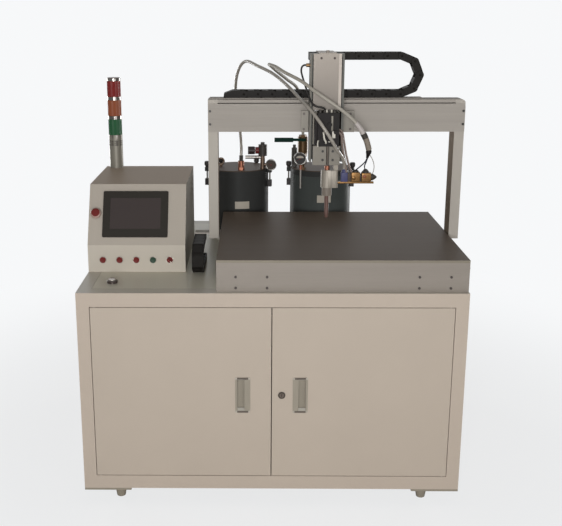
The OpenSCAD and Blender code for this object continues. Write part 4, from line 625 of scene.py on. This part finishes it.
BRASS, COPPER, DARK, FACE, CASE, BRIGHT, RED, BRONZE, DARK_FACE = range(9)


def left_fitting(x, y, z, n):
    """The left tank's outlet, gauge and regulator."""
    if z > 951 and x < -88 and y < 817 and abs(x - OUTLET_X) < 14:  # hose outlet
        return COPPER if z < 986 else DARK
    if math.hypot(x - LEFT_GAUGE[X], z - LEFT_GAUGE[Z]) < LEFT_GAUGE_R + 0.5 and y < 835 and x > -10:
        return FACE if n.y < -SQUARE else CASE
    if x < -27 and abs(z - 997) < 7.5:  # bar to the regulator
        return BRIGHT
    if -51 < x < -37.5 and z > 1005:  # ring behind the knob
        return RED
    return DARK if z > 1000 and x > -40 else BRONZE


def right_fitting(x, y, z, n):
    """The right tank's gauge, standpipe and valve."""
    if math.hypot(x - RIGHT_GAUGE[X], z - RIGHT_GAUGE[Z]) < RIGHT_GAUGE_R + 0.5 and y < 779.5:
        return DARK_FACE if n.y < -SQUARE else BRIGHT
    if x < 113 and y > 845:  # standpipe
        return DARK
    if y < 782 and z < 981:  # stem under the gauge
        return COPPER if z > 957 else BRIGHT
    return BRIGHT if abs(x - 136) < 20 and y > 860 else BRASS


paint(
    "tank_fittings",
    lambda x, y, z, n: (left_fitting if x < 40 else right_fitting)(x, y, z, n),
    valve_brass, copper, dark_fitting, gauge_face, gauge_case, bright_metal, red_ring, bronze, gauge_dark,
)


# Nodes cut where their paint changes


def cut_copy(node, body, planes, rule, *materials):
    """A copy of a node, cut along planes (axis, cabinet millimetres) and painted, which replaces it."""
    bm = bmesh.new()
    bm.from_mesh(nodes[node].data)
    for axis, value in planes:
        point = [0, 0, 0]
        point[axis] = value
        side = [0, 0, 0]
        side[axis] = 1
        bmesh.ops.bisect_plane(
            bm, geom=bm.verts[:] + bm.edges[:] + bm.faces[:], plane_co=P(*point), plane_no=side,
        )
    obj = finish_piece(f"{node}_look", bm, materials[0], body)
    by_place(obj, materials, lambda c, n: rule(*cab(c), n))
    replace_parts(obj, node)


def pull_part(middle):
    """The rule for a pull: body, dark edges and downward slopes in painted shade, rim, and painted
    highlights on the upward slopes and the corners.
    """
    def rule(x, y, z, n):
        if y > -0.1:
            if 0.1 < abs(n.z) < 0.99:
                return 3 if n.z > 0 else 1
            return 1 if abs(n.x) > SQUARE and y < 13 else 0
        if n.y < -SQUARE and abs(z - PULL_Z) > PULL_WINDOW_H / 2:
            return 1 if abs(x - middle) < PULL_WINDOW_W / 2 else 4
        return 2
    return rule


for side, middle in PULL_X.items():
    cuts = [(Z, PULL_Z + s * PULL_WINDOW_H / 2) for s in (-1, 1)]
    cuts += [(X, middle + s * PULL_WINDOW_W / 2) for s in (-1, 1)]
    cut_copy(
        f"{side}_pull", f"{side}_door", cuts,
        pull_part(middle), pull_paint, pull_painted_shade, pull_rim, pull_glint, pull_corner_highlight,
    )

# The key's slot
cut_copy(
    "door_lock", "door_lock", [(X, LOCK_X + s * 6.5) for s in (-1, 1)],
    lambda x, y, z, n: int(abs(x - LOCK_X) < 1.1 and y < 0 and abs(z - PULL_Z) < 5.1), lock_plug, slot_dark,
)

# The cover's screw heads and the light on its right edge
cut_copy(
    "lift_cover", "carriage", [(X, COVER_GLINT_X)],
    lambda x, y, z, n: 1 if y < 284.9 else 2 if n.y < -SQUARE and x > COVER_GLINT_X else 0,
    cover_metal, slot_dark, cover_glint,
)


def housing_part(x, y, z, n):
    """The lift's housing, its cable gland, its arm on top, its dark inside and its light left edge."""
    if x < 122.9:
        return 1
    if z > 1406.9:
        return 2
    if n.y < -SQUARE and x < HOUSING_EDGE_X:
        return 4
    return 3 if y > 300 and abs(n.x) > SQUARE and 128 < x < 226 else 0


cut_copy(
    "lift_housing", "carriage", [(X, HOUSING_EDGE_X)],
    housing_part, housing_metal, fitting_brass, cover_metal, slot_dark, housing_edge,
)


# Hoses and cable, in lengths that each cross one joint

STEPS = 8


def spline(points, steps=STEPS):
    """Catmull-Rom curve through points."""
    full = [points[0]] + points + [points[-1]]
    out = []
    for i in range(1, len(full) - 2):
        a, b, c, d = full[i - 1 : i + 3]
        for k in range(steps):
            t = k / steps
            square = (2 * a - 5 * b + 4 * c - d) * t * t
            cube = (3 * b - a - 3 * c + d) * t * t * t
            out.append(0.5 * (2 * b + (c - a) * t + square + cube))
    out.append(points[-1])
    return out


def run_of(route, steps=STEPS):
    return spline([P(*p) for p in route], steps)


feed_route = [
    (-104, 803, 1007), (-104, 803, 1057), (-113, 775, 1170), (-123, 735, 1263), (-111, 690, 1333),
    (-84, 640, 1366), (-42, 560, 1354), (10, 480, 1332), (56, 400, 1298), (97, 310, 1259),
    (119, 268, 1239), (150, 235, 1201), (186, 226, 1148), (206.5, 239.5, 1113), (227, 266, 1083),
    (236.4, 281.5, 1058.6), (238, 290, 1037.8),
]
sleeve_route = [
    (130, 803, 1085), (130, 803, 1125), (124, 797, 1188), (104, 735, 1262), (62, 650, 1302),
    (27, 570, 1333), (0, 500, 1359), (-3, 460, 1364), (17, 415, 1359), (45, 365, 1344),
    (95, 300, 1321), (140, 257, 1290), (204, 246, 1247), (251, 250, 1210), (280, 255, 1178),
    (302, 258, 1140), (313, 262, 1105),
]
cable_route = [
    (111, 318, 1369.8), (104.5, 318, 1369.8), (97.5, 318, 1363.8), (95.5, 318, 1351),
    (99, 318, 1336), (104, 316, 1320), (109, 309, 1304), (114, 298, 1290), (119, 287, 1275),
    (124, 280, 1262), (131, 274, 1251), (142, 268, 1244), (156, 265, 1241), (166.5, 266.5, 1238),
    (170, 268, 1232.8), (170, 268, 1224.8),
]
SLEEVE_CUTS = (5, 11)


def lengths(node, route, diameter, material, cuts=()):
    """The cord that replaces a node, cut at these points of its route. The last length ends on the head."""
    points = run_of(route)
    stations = [0] + [c * STEPS for c in cuts] + [len(points) - 1]
    pairs = [("base", "bridge"), ("bridge", "carriage"), ("carriage", "head")][-(len(stations) - 1) :]
    for i, pair in enumerate(pairs):
        piece = points[stations[i] : stations[i + 1] + 1]
        bm = bmesh.new()
        add_tube(bm, piece, diameter / 2, 20)
        obj = finish_piece(f"{node}_{i + 1}", bm, material, smooth=60)
        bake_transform(obj)
        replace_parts(obj, node)


lengths("feed_hose", feed_route, 0.011, feed_tube, (5, 10))
lengths("sleeve_hose", sleeve_route, 0.011, sleeve_tube, SLEEVE_CUTS)
lengths("head_cable", cable_route, 0.006, cable_rubber)


# Drag chains, each in three parts: the low run, the bend and the high run

HALFWAY = Vector((0, 0, 10))  # so far from the bend's middle, for the ends of the bend's part


def links_of(mesh):
    """The faces of each separate link of a mesh."""
    parent = {}

    def find(k):
        while parent[k] != k:
            parent[k] = parent[parent[k]]
            k = parent[k]
        return k

    per_metre = 20000  # corners within a twentieth of a millimetre are one
    keys = [tuple(round(c * per_metre) for c in v.co) for v in mesh.vertices]
    for k in keys:
        parent.setdefault(k, k)
    for face in mesh.polygons:
        first = find(keys[face.vertices[0]])
        for i in face.vertices[1:]:
            other = find(keys[i])
            if other != first:
                parent[other] = first
    groups = defaultdict(list)
    for face in mesh.polygons:
        groups[find(keys[face.vertices[0]])].append(face.index)
    return list(groups.values())


def part_of(mesh, name, faces, material):
    """A new object with only these faces of a mesh."""
    bm = bmesh.new()
    bm.from_mesh(mesh)
    keep = set(faces)
    bmesh.ops.delete(bm, geom=[f for f in bm.faces if f.index not in keep], context="FACES")
    bmesh.ops.remove_doubles(bm, verts=bm.verts, dist=0.00001)
    return finish_piece(name, bm, material, smooth=30)


def chain(node, axis, low_end, bend, middle, high_end):
    """Splits the node's links into the low run, the bend and the high run. middle is the bend's height."""
    mesh = nodes[node].data
    runs = {"low": [], "bend": [], "high": []}
    slack, spread = 0.004, 1.25  # how far before the bend, and from its middle, its links may lie
    outward = 1 if bend[axis] > low_end[axis] else -1
    for link in links_of(mesh):
        centres = [mesh.polygons[i].center for i in link]
        along = sum(c[axis] for c in centres) / len(centres)
        height = sum(c.z for c in centres) / len(centres)
        beyond = (along - bend[axis]) * outward
        if beyond > -slack and abs(height - middle) < abs(low_end.z - middle) * spread:
            runs["bend"] += link
        elif height < middle:
            runs["low"] += link
        else:
            runs["high"] += link
    centre = Vector((bend.x, bend.y, middle))
    opposite = high_end + (bend - high_end) * 2
    ends = {
        "low": (low_end, low_end + (bend - low_end) * 2),
        "bend": (centre - HALFWAY, centre + HALFWAY),
        "high": (Vector((opposite.x, opposite.y, high_end.z)), high_end),
    }
    for run, faces in runs.items():
        if not faces:
            raise ValueError(f"{node} has no {run} links")
        piece = part_of(mesh, f"{node}_{run}", faces, chain_plastic)
        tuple(ends[run][0])
        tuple(ends[run][1])
        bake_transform(piece)
        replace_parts(piece, node)


chain(
    "x_chain", X,
    P(-89, 425, 1271.5), P(428, 425, 1271.5), 1.3329, P(146, 425, 1394.3),
)
chain(
    "y_chain", Y,
    P(Y_CHAIN_X, 387, 717), P(Y_CHAIN_X, Y_CHAIN_Y, 717), Y_CHAIN_Z / 1000, P(Y_CHAIN_X, 387, 794),
)

# Lids over the bend of the y chain: a strip as wide as the links, through these y and z
lid_line = (
    (246, 803.8), (235.5, 803.8), (225, 797.3), (196.5, 780.6), (190.1, 771.2),
    (190.1, 739.8), (196.5, 730.4), (225, 713.7), (235.5, 707.2), (246, 707.2),
)
half_w, thick = 18.5, 1.5
around = ((-half_w, 0), (half_w, 0), (half_w, thick), (-half_w, thick))
lid_sections = []
for y, z in lid_line:
    inward = (Vector((0, Y_CHAIN_Y, Y_CHAIN_Z)) - Vector((0, y, z))).normalized()
    lid_sections.append([
        P(Y_CHAIN_X + side, y + inward.y * depth, z + inward.z * depth) for side, depth in around
    ])
strip = loft_piece("y_chain_lids", lid_sections, chain_plastic, smooth=20)
middle = P(0, Y_CHAIN_Y, Y_CHAIN_Z)
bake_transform(strip)


# Details on the head


def tube_piece(name, route, radius, material):
    """A thin tube on the head, through cabinet millimetres."""
    bm = bmesh.new()
    add_tube(bm, run_of(route, 6), radius / 1000, 14)
    finish_piece(name, bm, material, "head", 60)


def lead(name, route, diameter, material):
    """A short free tube or wire between two parts of the head."""
    points = run_of(route)
    bm = bmesh.new()
    add_tube(bm, points, diameter / 2000, 12)
    obj = finish_piece(name, bm, material, "head", 60)


# Wires from the sleeve's plug to the side valves
lead(
    "valve_lead_1",
    [(309, 268, 1082), (303, 274, 1066), (290, 282, 1051), (277, 288, 1038), (275, 289, 1032)],
    4, wire_blue,
)
lead(
    "valve_lead_2",
    [(310, 268, 1081), (306, 276, 1064), (303, 284, 1052), (305, 289, 1040), (306, 289, 1034)],
    4, wire_blue,
)
lead(
    "valve_lead_3",
    [(315, 266, 1092), (326, 272, 1074), (333, 281, 1054), (333, 288, 1036), (329, 290, 1022)],
    2.5, feed_tube,
)

# Tubes from the dosing valve to the side valves
lead(
    "purge_tube",
    [
        (214, 272, 1162), (224, 272, 1152), (228, 275, 1120), (235, 280, 1080), (242, 285, 1050),
        (244, 286, 1028),
    ],
    8, pink_tube,
)
lead(
    "drain_tube",
    [
        (214, 288, 1170), (228, 288, 1160), (236, 290, 1125), (244, 292, 1085), (254, 293, 1050),
        (262, 293, 1030),
    ],
    7, pink_tube,
)

# The sleeve's thick end, its band and its plug
turned_piece(
    "sleeve_plug", (313.5, 261.8, 1107), (-0.17, 0.25, -0.95),
    [(0, 0), (7, 0), (9, 3), (9, 10), (6, 18), (4, 28), (3, 30), (0, 30)], valve_black, count=20,
)
sleeve_run = run_of(sleeve_route)
thick_end = sleeve_run[-2 * STEPS - 5 : -1]
swell = [math.sin(math.pi * min(k / len(thick_end) * 1.6, 1) / 2) for k in range(len(thick_end))]
bm = bmesh.new()
add_tube(bm, thick_end, [0.0072 + 0.0022 * s for s in swell], 24)
outer = finish_piece("sleeve_outer", bm, sleeve_pale, smooth=60)
# The thick end is paler above the middle of its band and darker below it
by_place(outer, (sleeve_pale, sleeve_dark_lower), lambda c, n: int(c.z < thick_end[10].z))
bm = bmesh.new()
add_tube(bm, thick_end[8:12], 0.0099, 24)
band = finish_piece("sleeve_band", bm, dark_fitting, smooth=60)
for obj in (outer, band):
    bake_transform(obj)

# Side valves on their bar
block_piece("valve_bar", (215, 284, 993), (334, 299, 999), brass_parts, 0.8)
block_piece("valve_block_1", (260, 276, 999), (289, 301, 1031), brass_parts, 2.5)
block_piece("valve_block_2", (293, 276, 999), (325, 301, 1029), brass_parts, 2.5)
block_piece("valve_block_back", (286, 284, 999), (296, 300, 1024), dark_fitting, 1)
block_piece("valve_link", (248.4, 282, 999), (261, 299, 1027), lid_metal, 1)
turned_piece(
    "valve_cap_1", (275, 289, 1030), UP,
    [(0, 0), (10, 0), (10, 4), (8, 6), (5, 8), (0, 8)], dark_fitting,
)
turned_piece(
    "valve_cap_2", (307, 289, 1028), UP,
    [(0, 0), (12, 0), (12, 4), (9, 7), (5, 12), (0, 12)], dark_fitting,
)
turned_piece(
    "valve_spot_1", (268, 276.4, 1013), FRONT,
    [(0, 0), (6.5, 0), (6.5, 1.6), (5, 2.4), (0, 2.4)], brass_parts,
)
turned_piece(
    "valve_spot_2", (303, 276.4, 1018), FRONT,
    [(0, 0), (6, 0), (6, 1.6), (4.5, 2.4), (0, 2.4)], orange_cap,
)
turned_piece(
    "valve_cone", (324, 289, 1014), (1, 0, 0),
    [(0, 0), (11, 0), (11, 6), (8, 12), (3, 19), (0, 20)], dark_fitting,
)
block_piece("blue_block", (227, 280, 999), (249, 300, 1030), blue_fitting, 2)
turned_piece(
    "blue_neck", (238, 290, 1029), UP,
    [(0, 0), (8.5, 0), (8.5, 6), (7, 9), (6.5, 11), (0, 11)], blue_fitting,
)
for piece in (
    "valve_bar", "valve_block_1", "valve_block_2", "valve_cap_1", "valve_cap_2", "valve_cone",
    "blue_block", "blue_neck",
):
    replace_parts(bpy.data.objects[piece], "side_valves")

# Rounded block round the mixer: half a circle on its left, a small round on its front right corner
left_round = [math.radians(90 + 10 * k) for k in range(19)]
right_round = [math.radians(-90 + 15 * k) for k in range(7)]
outline = [(181 + 19.9 * math.cos(a), 275 + 19.9 * math.sin(a)) for a in left_round]
outline += [(207 + 7.8 * math.cos(a), 262.9 + 7.8 * math.sin(a)) for a in right_round]
outline += [(214.8, 294.9)]
loft_piece(
    "mixer_block",
    [
        [P(x + (188 - x) * inset, y + (275 - y) * inset, z) for x, y in outline]
        for z, inset in ((983.9, 0.03), (985.4, 0), (1039.5, 0), (1041, 0.03))
    ],
    mixer_metal, "head", 30,
)

# Trim on the dosing valve
block_piece("valve_side", (138.5, 258, 1120), (147.4, 303, 1214), valve_black, 1.5)
block_piece("valve_strip", (189.5, 248.6, 1169), (195.5, 250.4, 1216), slide_metal, 0.6)
block_piece("white_plug", (192, 244, 1146), (203, 250.4, 1168), pale_mark, 1.5)
tube_piece(
    "white_elbow",
    [
        (165, 249, 1164), (165, 243, 1163), (166, 241, 1154), (168, 241, 1144), (173, 243, 1135),
        (173, 249, 1130),
    ],
    3, pale_mark,
)
tube_piece(
    "white_hook",
    [(149, 251, 1138), (148, 246, 1136), (147, 245, 1126), (148, 249, 1119)],
    2, pale_mark,
)
turned_piece("white_nut", (184, 250, 1136), FRONT, [(0, 0), (3.5, 0), (3.5, 4), (0, 4)], pale_mark, count=6)
for k, (x, r) in enumerate([(155, 6), (168, 4), (183, 4.5), (201, 7)]):
    turned_piece(
        f"valve_top_{k + 1}", (x, VALVE_TOP_Y, VALVE_TOP_Z), UP,
        [(0, 0), (r, 0), (r, 6), (r - 1, 9), (0, 9)], dark_fitting, count=20,
    )
for k, x in enumerate((176, 191)):
    turned_piece(
        f"valve_port_{k + 1}", (x, VALVE_TOP_Y, VALVE_TOP_Z), UP,
        [(0, 0), (3, 0), (3, 8), (2, 10), (0, 10)], pale_mark, count=16,
    )


# Tower and buttons


def ribbed_lens(name, z0, z1, material, node):
    """A ribbed lens of the signal tower, which replaces its node."""
    ribs, rib_depth, lip, lip_inset = 72, 0.35, 1.5, 0.8
    sections = []
    for z, inset in ((z0, lip_inset), (z0 + lip, 0), (z1 - lip, 0), (z1, lip_inset)):
        section = []
        for k in range(2 * ribs):
            a = math.radians(k * 180 / ribs)
            r = (TOWER_R - inset - (rib_depth if k % 2 else 0)) / 1000
            section.append(P(TOWER_X, TOWER_Y, z) + Vector((r * math.cos(a), r * math.sin(a), 0)))
        sections.append(section)
    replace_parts(loft_piece(name, sections, material, "base", 10), node)


ribbed_lens("lens_low", 1103, 1159.5, green_lens, "lens_green")
ribbed_lens("lens_middle", 1171.5, 1228, amber_lens, "lens_amber")
ribbed_lens("lens_high", 1240, 1296.5, red_lens, "lens_red")

# Dark slots in the tower's neck: three rows of eight curved inlays
SLOT_H, SLOT_IN, SLOT_OUT = 4.2, 0.0242, 0.0246
bm = bmesh.new()
for row in (1079, 1072, 1065):
    for k in range(8):
        slot_sections = []
        for step in (-19, -9.5, 0, 9.5, 19):
            a = math.radians(-75.5 + k * 45 + step)
            outward = Vector((math.cos(a), math.sin(a), 0))
            slot_sections.append([
                P(TOWER_X, TOWER_Y, row + rise) + outward * r
                for rise, r in ((0, SLOT_IN), (0, SLOT_OUT), (SLOT_H, SLOT_OUT), (SLOT_H, SLOT_IN))
            ])
        add_loft(bm, slot_sections)
finish_piece("tower_slots", bm, band_dark, "base")

# The selector's pointer, turned to its position at rest
bm = bmesh.new()
add_block(bm, (0.0035, -0.0016, -0.0004), (0.0092, 0.0016, 0.0004), 0.0003, 2)
to_front = Matrix.Rotation(math.radians(90), 4, "X") @ Matrix.Rotation(math.radians(-45), 4, "Z")
bmesh.ops.transform(bm, verts=bm.verts, matrix=Matrix.Translation(P(*SELECTOR_FACE)) @ to_front)
finish_piece("selector_mark", bm, pale_mark, "mode_selector")


# Gauges and labels


def gauge(name, place, radius, degrees):
    """A ring, ticks and a needle, which points along degrees, on the front of a gauge at place."""
    x, y, z = place
    turned_piece(
        f"{name}_ring", (x, y + 2, z), FRONT,
        [
            (radius + 0.4, 0), (radius + 0.8, 2), (radius - 0.5, 4.2), (radius - 3, 3.4),
            (radius - 3.4, 2.2), (radius - 3.4, 0),
        ],
        ring_metal, "base", 48,
    )
    tick_out, tick_w = radius - 4, 0.3
    bm = bmesh.new()
    for k in range(19):
        a = math.radians(-45 + k * 15)
        u, v = Vector((math.cos(a), 0, math.sin(a))), Vector((-math.sin(a), 0, math.cos(a)))
        tick_in = radius - (7 if k % 3 == 0 else 5.5)
        around = ((tick_in, -tick_w), (tick_out, -tick_w), (tick_out, tick_w), (tick_in, tick_w))
        corners = [P(x, y - 0.15, z) + u * (r / 1000) + v * (w / 1000) for r, w in around]
        add_loft(bm, [[c + Vector((0, depth, 0)) for c in corners] for depth in (-0.0002, 0.0004)])
    finish_piece(f"{name}_ticks", bm, screw_black, "base")
    a = math.radians(degrees)
    needle = [P(x + r * math.cos(a), y - 0.8, z + r * math.sin(a)) for r in (-3, 0, radius - 6)]
    bm = bmesh.new()
    add_tube(bm, needle, [0.0006, 0.0009, 0.0003], 8)
    add_lathe(bm, [(0.0024, 0), (0.0024, 0.0012), (0.0012, 0.0018)], P(x, y, z), FRONT, 20)
    finish_piece(f"{name}_needle", bm, red_ring, "base")


# Pale upper half of the right gauge's face
half_turn = [math.radians(15 * k) for k in range(13)]
scale_rim = [(14 * math.cos(a), 3 + 9 * math.sin(a)) for a in half_turn]
loft_piece(
    "right_gauge_scale",
    [
        [P(RIGHT_GAUGE[X] + u, RIGHT_GAUGE[Y] + depth, RIGHT_GAUGE[Z] + v) for u, v in scale_rim]
        for depth in (-0.3, 0.2)
    ],
    label_sheet, "base",
)
gauge("left_gauge", LEFT_GAUGE, LEFT_GAUGE_R, 160)
gauge("right_gauge", RIGHT_GAUGE, RIGHT_GAUGE_R, 210)


def tank_label(name, x, low, high, z0, z1):
    """A bare label on the front of the tank at x, between two angles and two heights."""
    inner_r, outer_r = LABEL_R
    sections = []
    for k in range(9):
        a = math.radians(low + (high - low) * k / 8)
        outward = Vector((math.sin(a), -math.cos(a), 0))
        around = ((outer_r, z0), (outer_r, z1), (inner_r, z1), (inner_r, z0))
        sections.append([P(x, TANK_Y, z) + outward * r for r, z in around])
    loft_piece(name, sections, label_sheet, "base", 60)


tank_label("left_label", LEFT_TANK_X, -5.5, 21.5, 807, 835)
tank_label("right_label", RIGHT_TANK_X, -9.5, 16.5, 831, 859)


# Room

# The camera, and the rays that reflect or pass through, see a white room. The rest is lit by a dim one.
WHITE = (0.93, 0.94, 0.95, 1)
DIM = (0.16, 0.155, 0.145, 1)
FLOOR_GREY = (0.86, 0.86, 0.86, 1)

world = bpy.data.worlds.new("room")
bpy.context.scene.world = world
world.use_nodes = True
tree = world.node_tree
background = tree.nodes["Background"]
background.inputs["Strength"].default_value = 1
path = add_node(tree, "ShaderNodeLightPath")
seen = add_node(tree, "ShaderNodeMath", operation="MAXIMUM")
tree.links.new(path.outputs["Is Camera Ray"], seen.inputs[0])
tree.links.new(path.outputs["Is Glossy Ray"], seen.inputs[1])
also = add_node(tree, "ShaderNodeMath", operation="MAXIMUM")
tree.links.new(seen.outputs[0], also.inputs[0])
tree.links.new(path.outputs["Is Transmission Ray"], also.inputs[1])
sky = add_node(tree, "ShaderNodeMix", {"A": DIM, "B": WHITE}, data_type="RGBA")
tree.links.new(also.outputs[0], sky.inputs["Factor"])
tree.links.new(sky.outputs["Result"], background.inputs["Color"])


def softbox(name, place, target, width, power):
    light = bpy.data.lights.new(name, "AREA")
    light.shape = "SQUARE"
    light.size = width
    light.energy = power
    obj = bpy.data.objects.new(name, light)
    bpy.context.scene.collection.objects.link(obj)
    aim = (Vector(target) - Vector(place)).to_track_quat("-Z", "Y").to_matrix().to_4x4()
    obj.matrix_world = Matrix.Translation(place) @ aim
    return obj


key = softbox("key", (-0.3, -4.6, 1.45), (0, 0, 0.8), 1.2, 112)
fill = softbox("fill", (1.9, -4.2, 1.1), (0, 0, 0.7), 1.6, 18)
rear_left = softbox("rear_left", (-3.2, 3.6, 0.75), (0, 0.3, 0.5), 1.2, 75)
rear_right = softbox("rear_right", (3.4, 3.4, 0.75), (0, 0.3, 0.5), 1.2, 75)

# The floor keeps the shadow near the machine, and turns into the white room further out
floor_look = bpy.data.materials.new("floor_look")
floor_look.use_nodes = True
tree = floor_look.node_tree
shader = tree.nodes["Principled BSDF"]
shader.inputs["Base Color"].default_value = FLOOR_GREY
shader.inputs["Roughness"].default_value = 0.9
glow = add_node(tree, "ShaderNodeEmission", {"Color": WHITE})
place = add_node(tree, "ShaderNodeTexCoord")
distance = add_node(tree, "ShaderNodeVectorMath", operation="LENGTH")
tree.links.new(place.outputs["Object"], distance.inputs[0])
reach = {"From Min": 0.7, "From Max": 2.4, "To Min": 0.78}
fade = add_node(tree, "ShaderNodeMapRange", reach, interpolation_type="SMOOTHSTEP")
tree.links.new(distance.outputs["Value"], fade.inputs["Value"])
rays = add_node(tree, "ShaderNodeLightPath")
only = add_node(tree, "ShaderNodeMath", operation="MULTIPLY")
tree.links.new(fade.outputs["Result"], only.inputs[0])
tree.links.new(rays.outputs["Is Camera Ray"], only.inputs[1])
blend = add_node(tree, "ShaderNodeMixShader")
tree.links.new(only.outputs[0], blend.inputs[0])
tree.links.new(shader.outputs[0], blend.inputs[1])
tree.links.new(glow.outputs[0], blend.inputs[2])
tree.links.new(blend.outputs[0], tree.nodes["Material Output"].inputs["Surface"])
bm = bmesh.new()
rim = circle(Vector((0, 0, -0.0005)), Vector((1, 0, 0)), Vector((0, 1, 0)), 30, 64)
bm.faces.new([bm.verts.new(p) for p in rim])
floor = finish_piece("floor", bm, floor_look)
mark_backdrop(floor, key, fill, rear_left, rear_right)

size_after = plain(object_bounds())
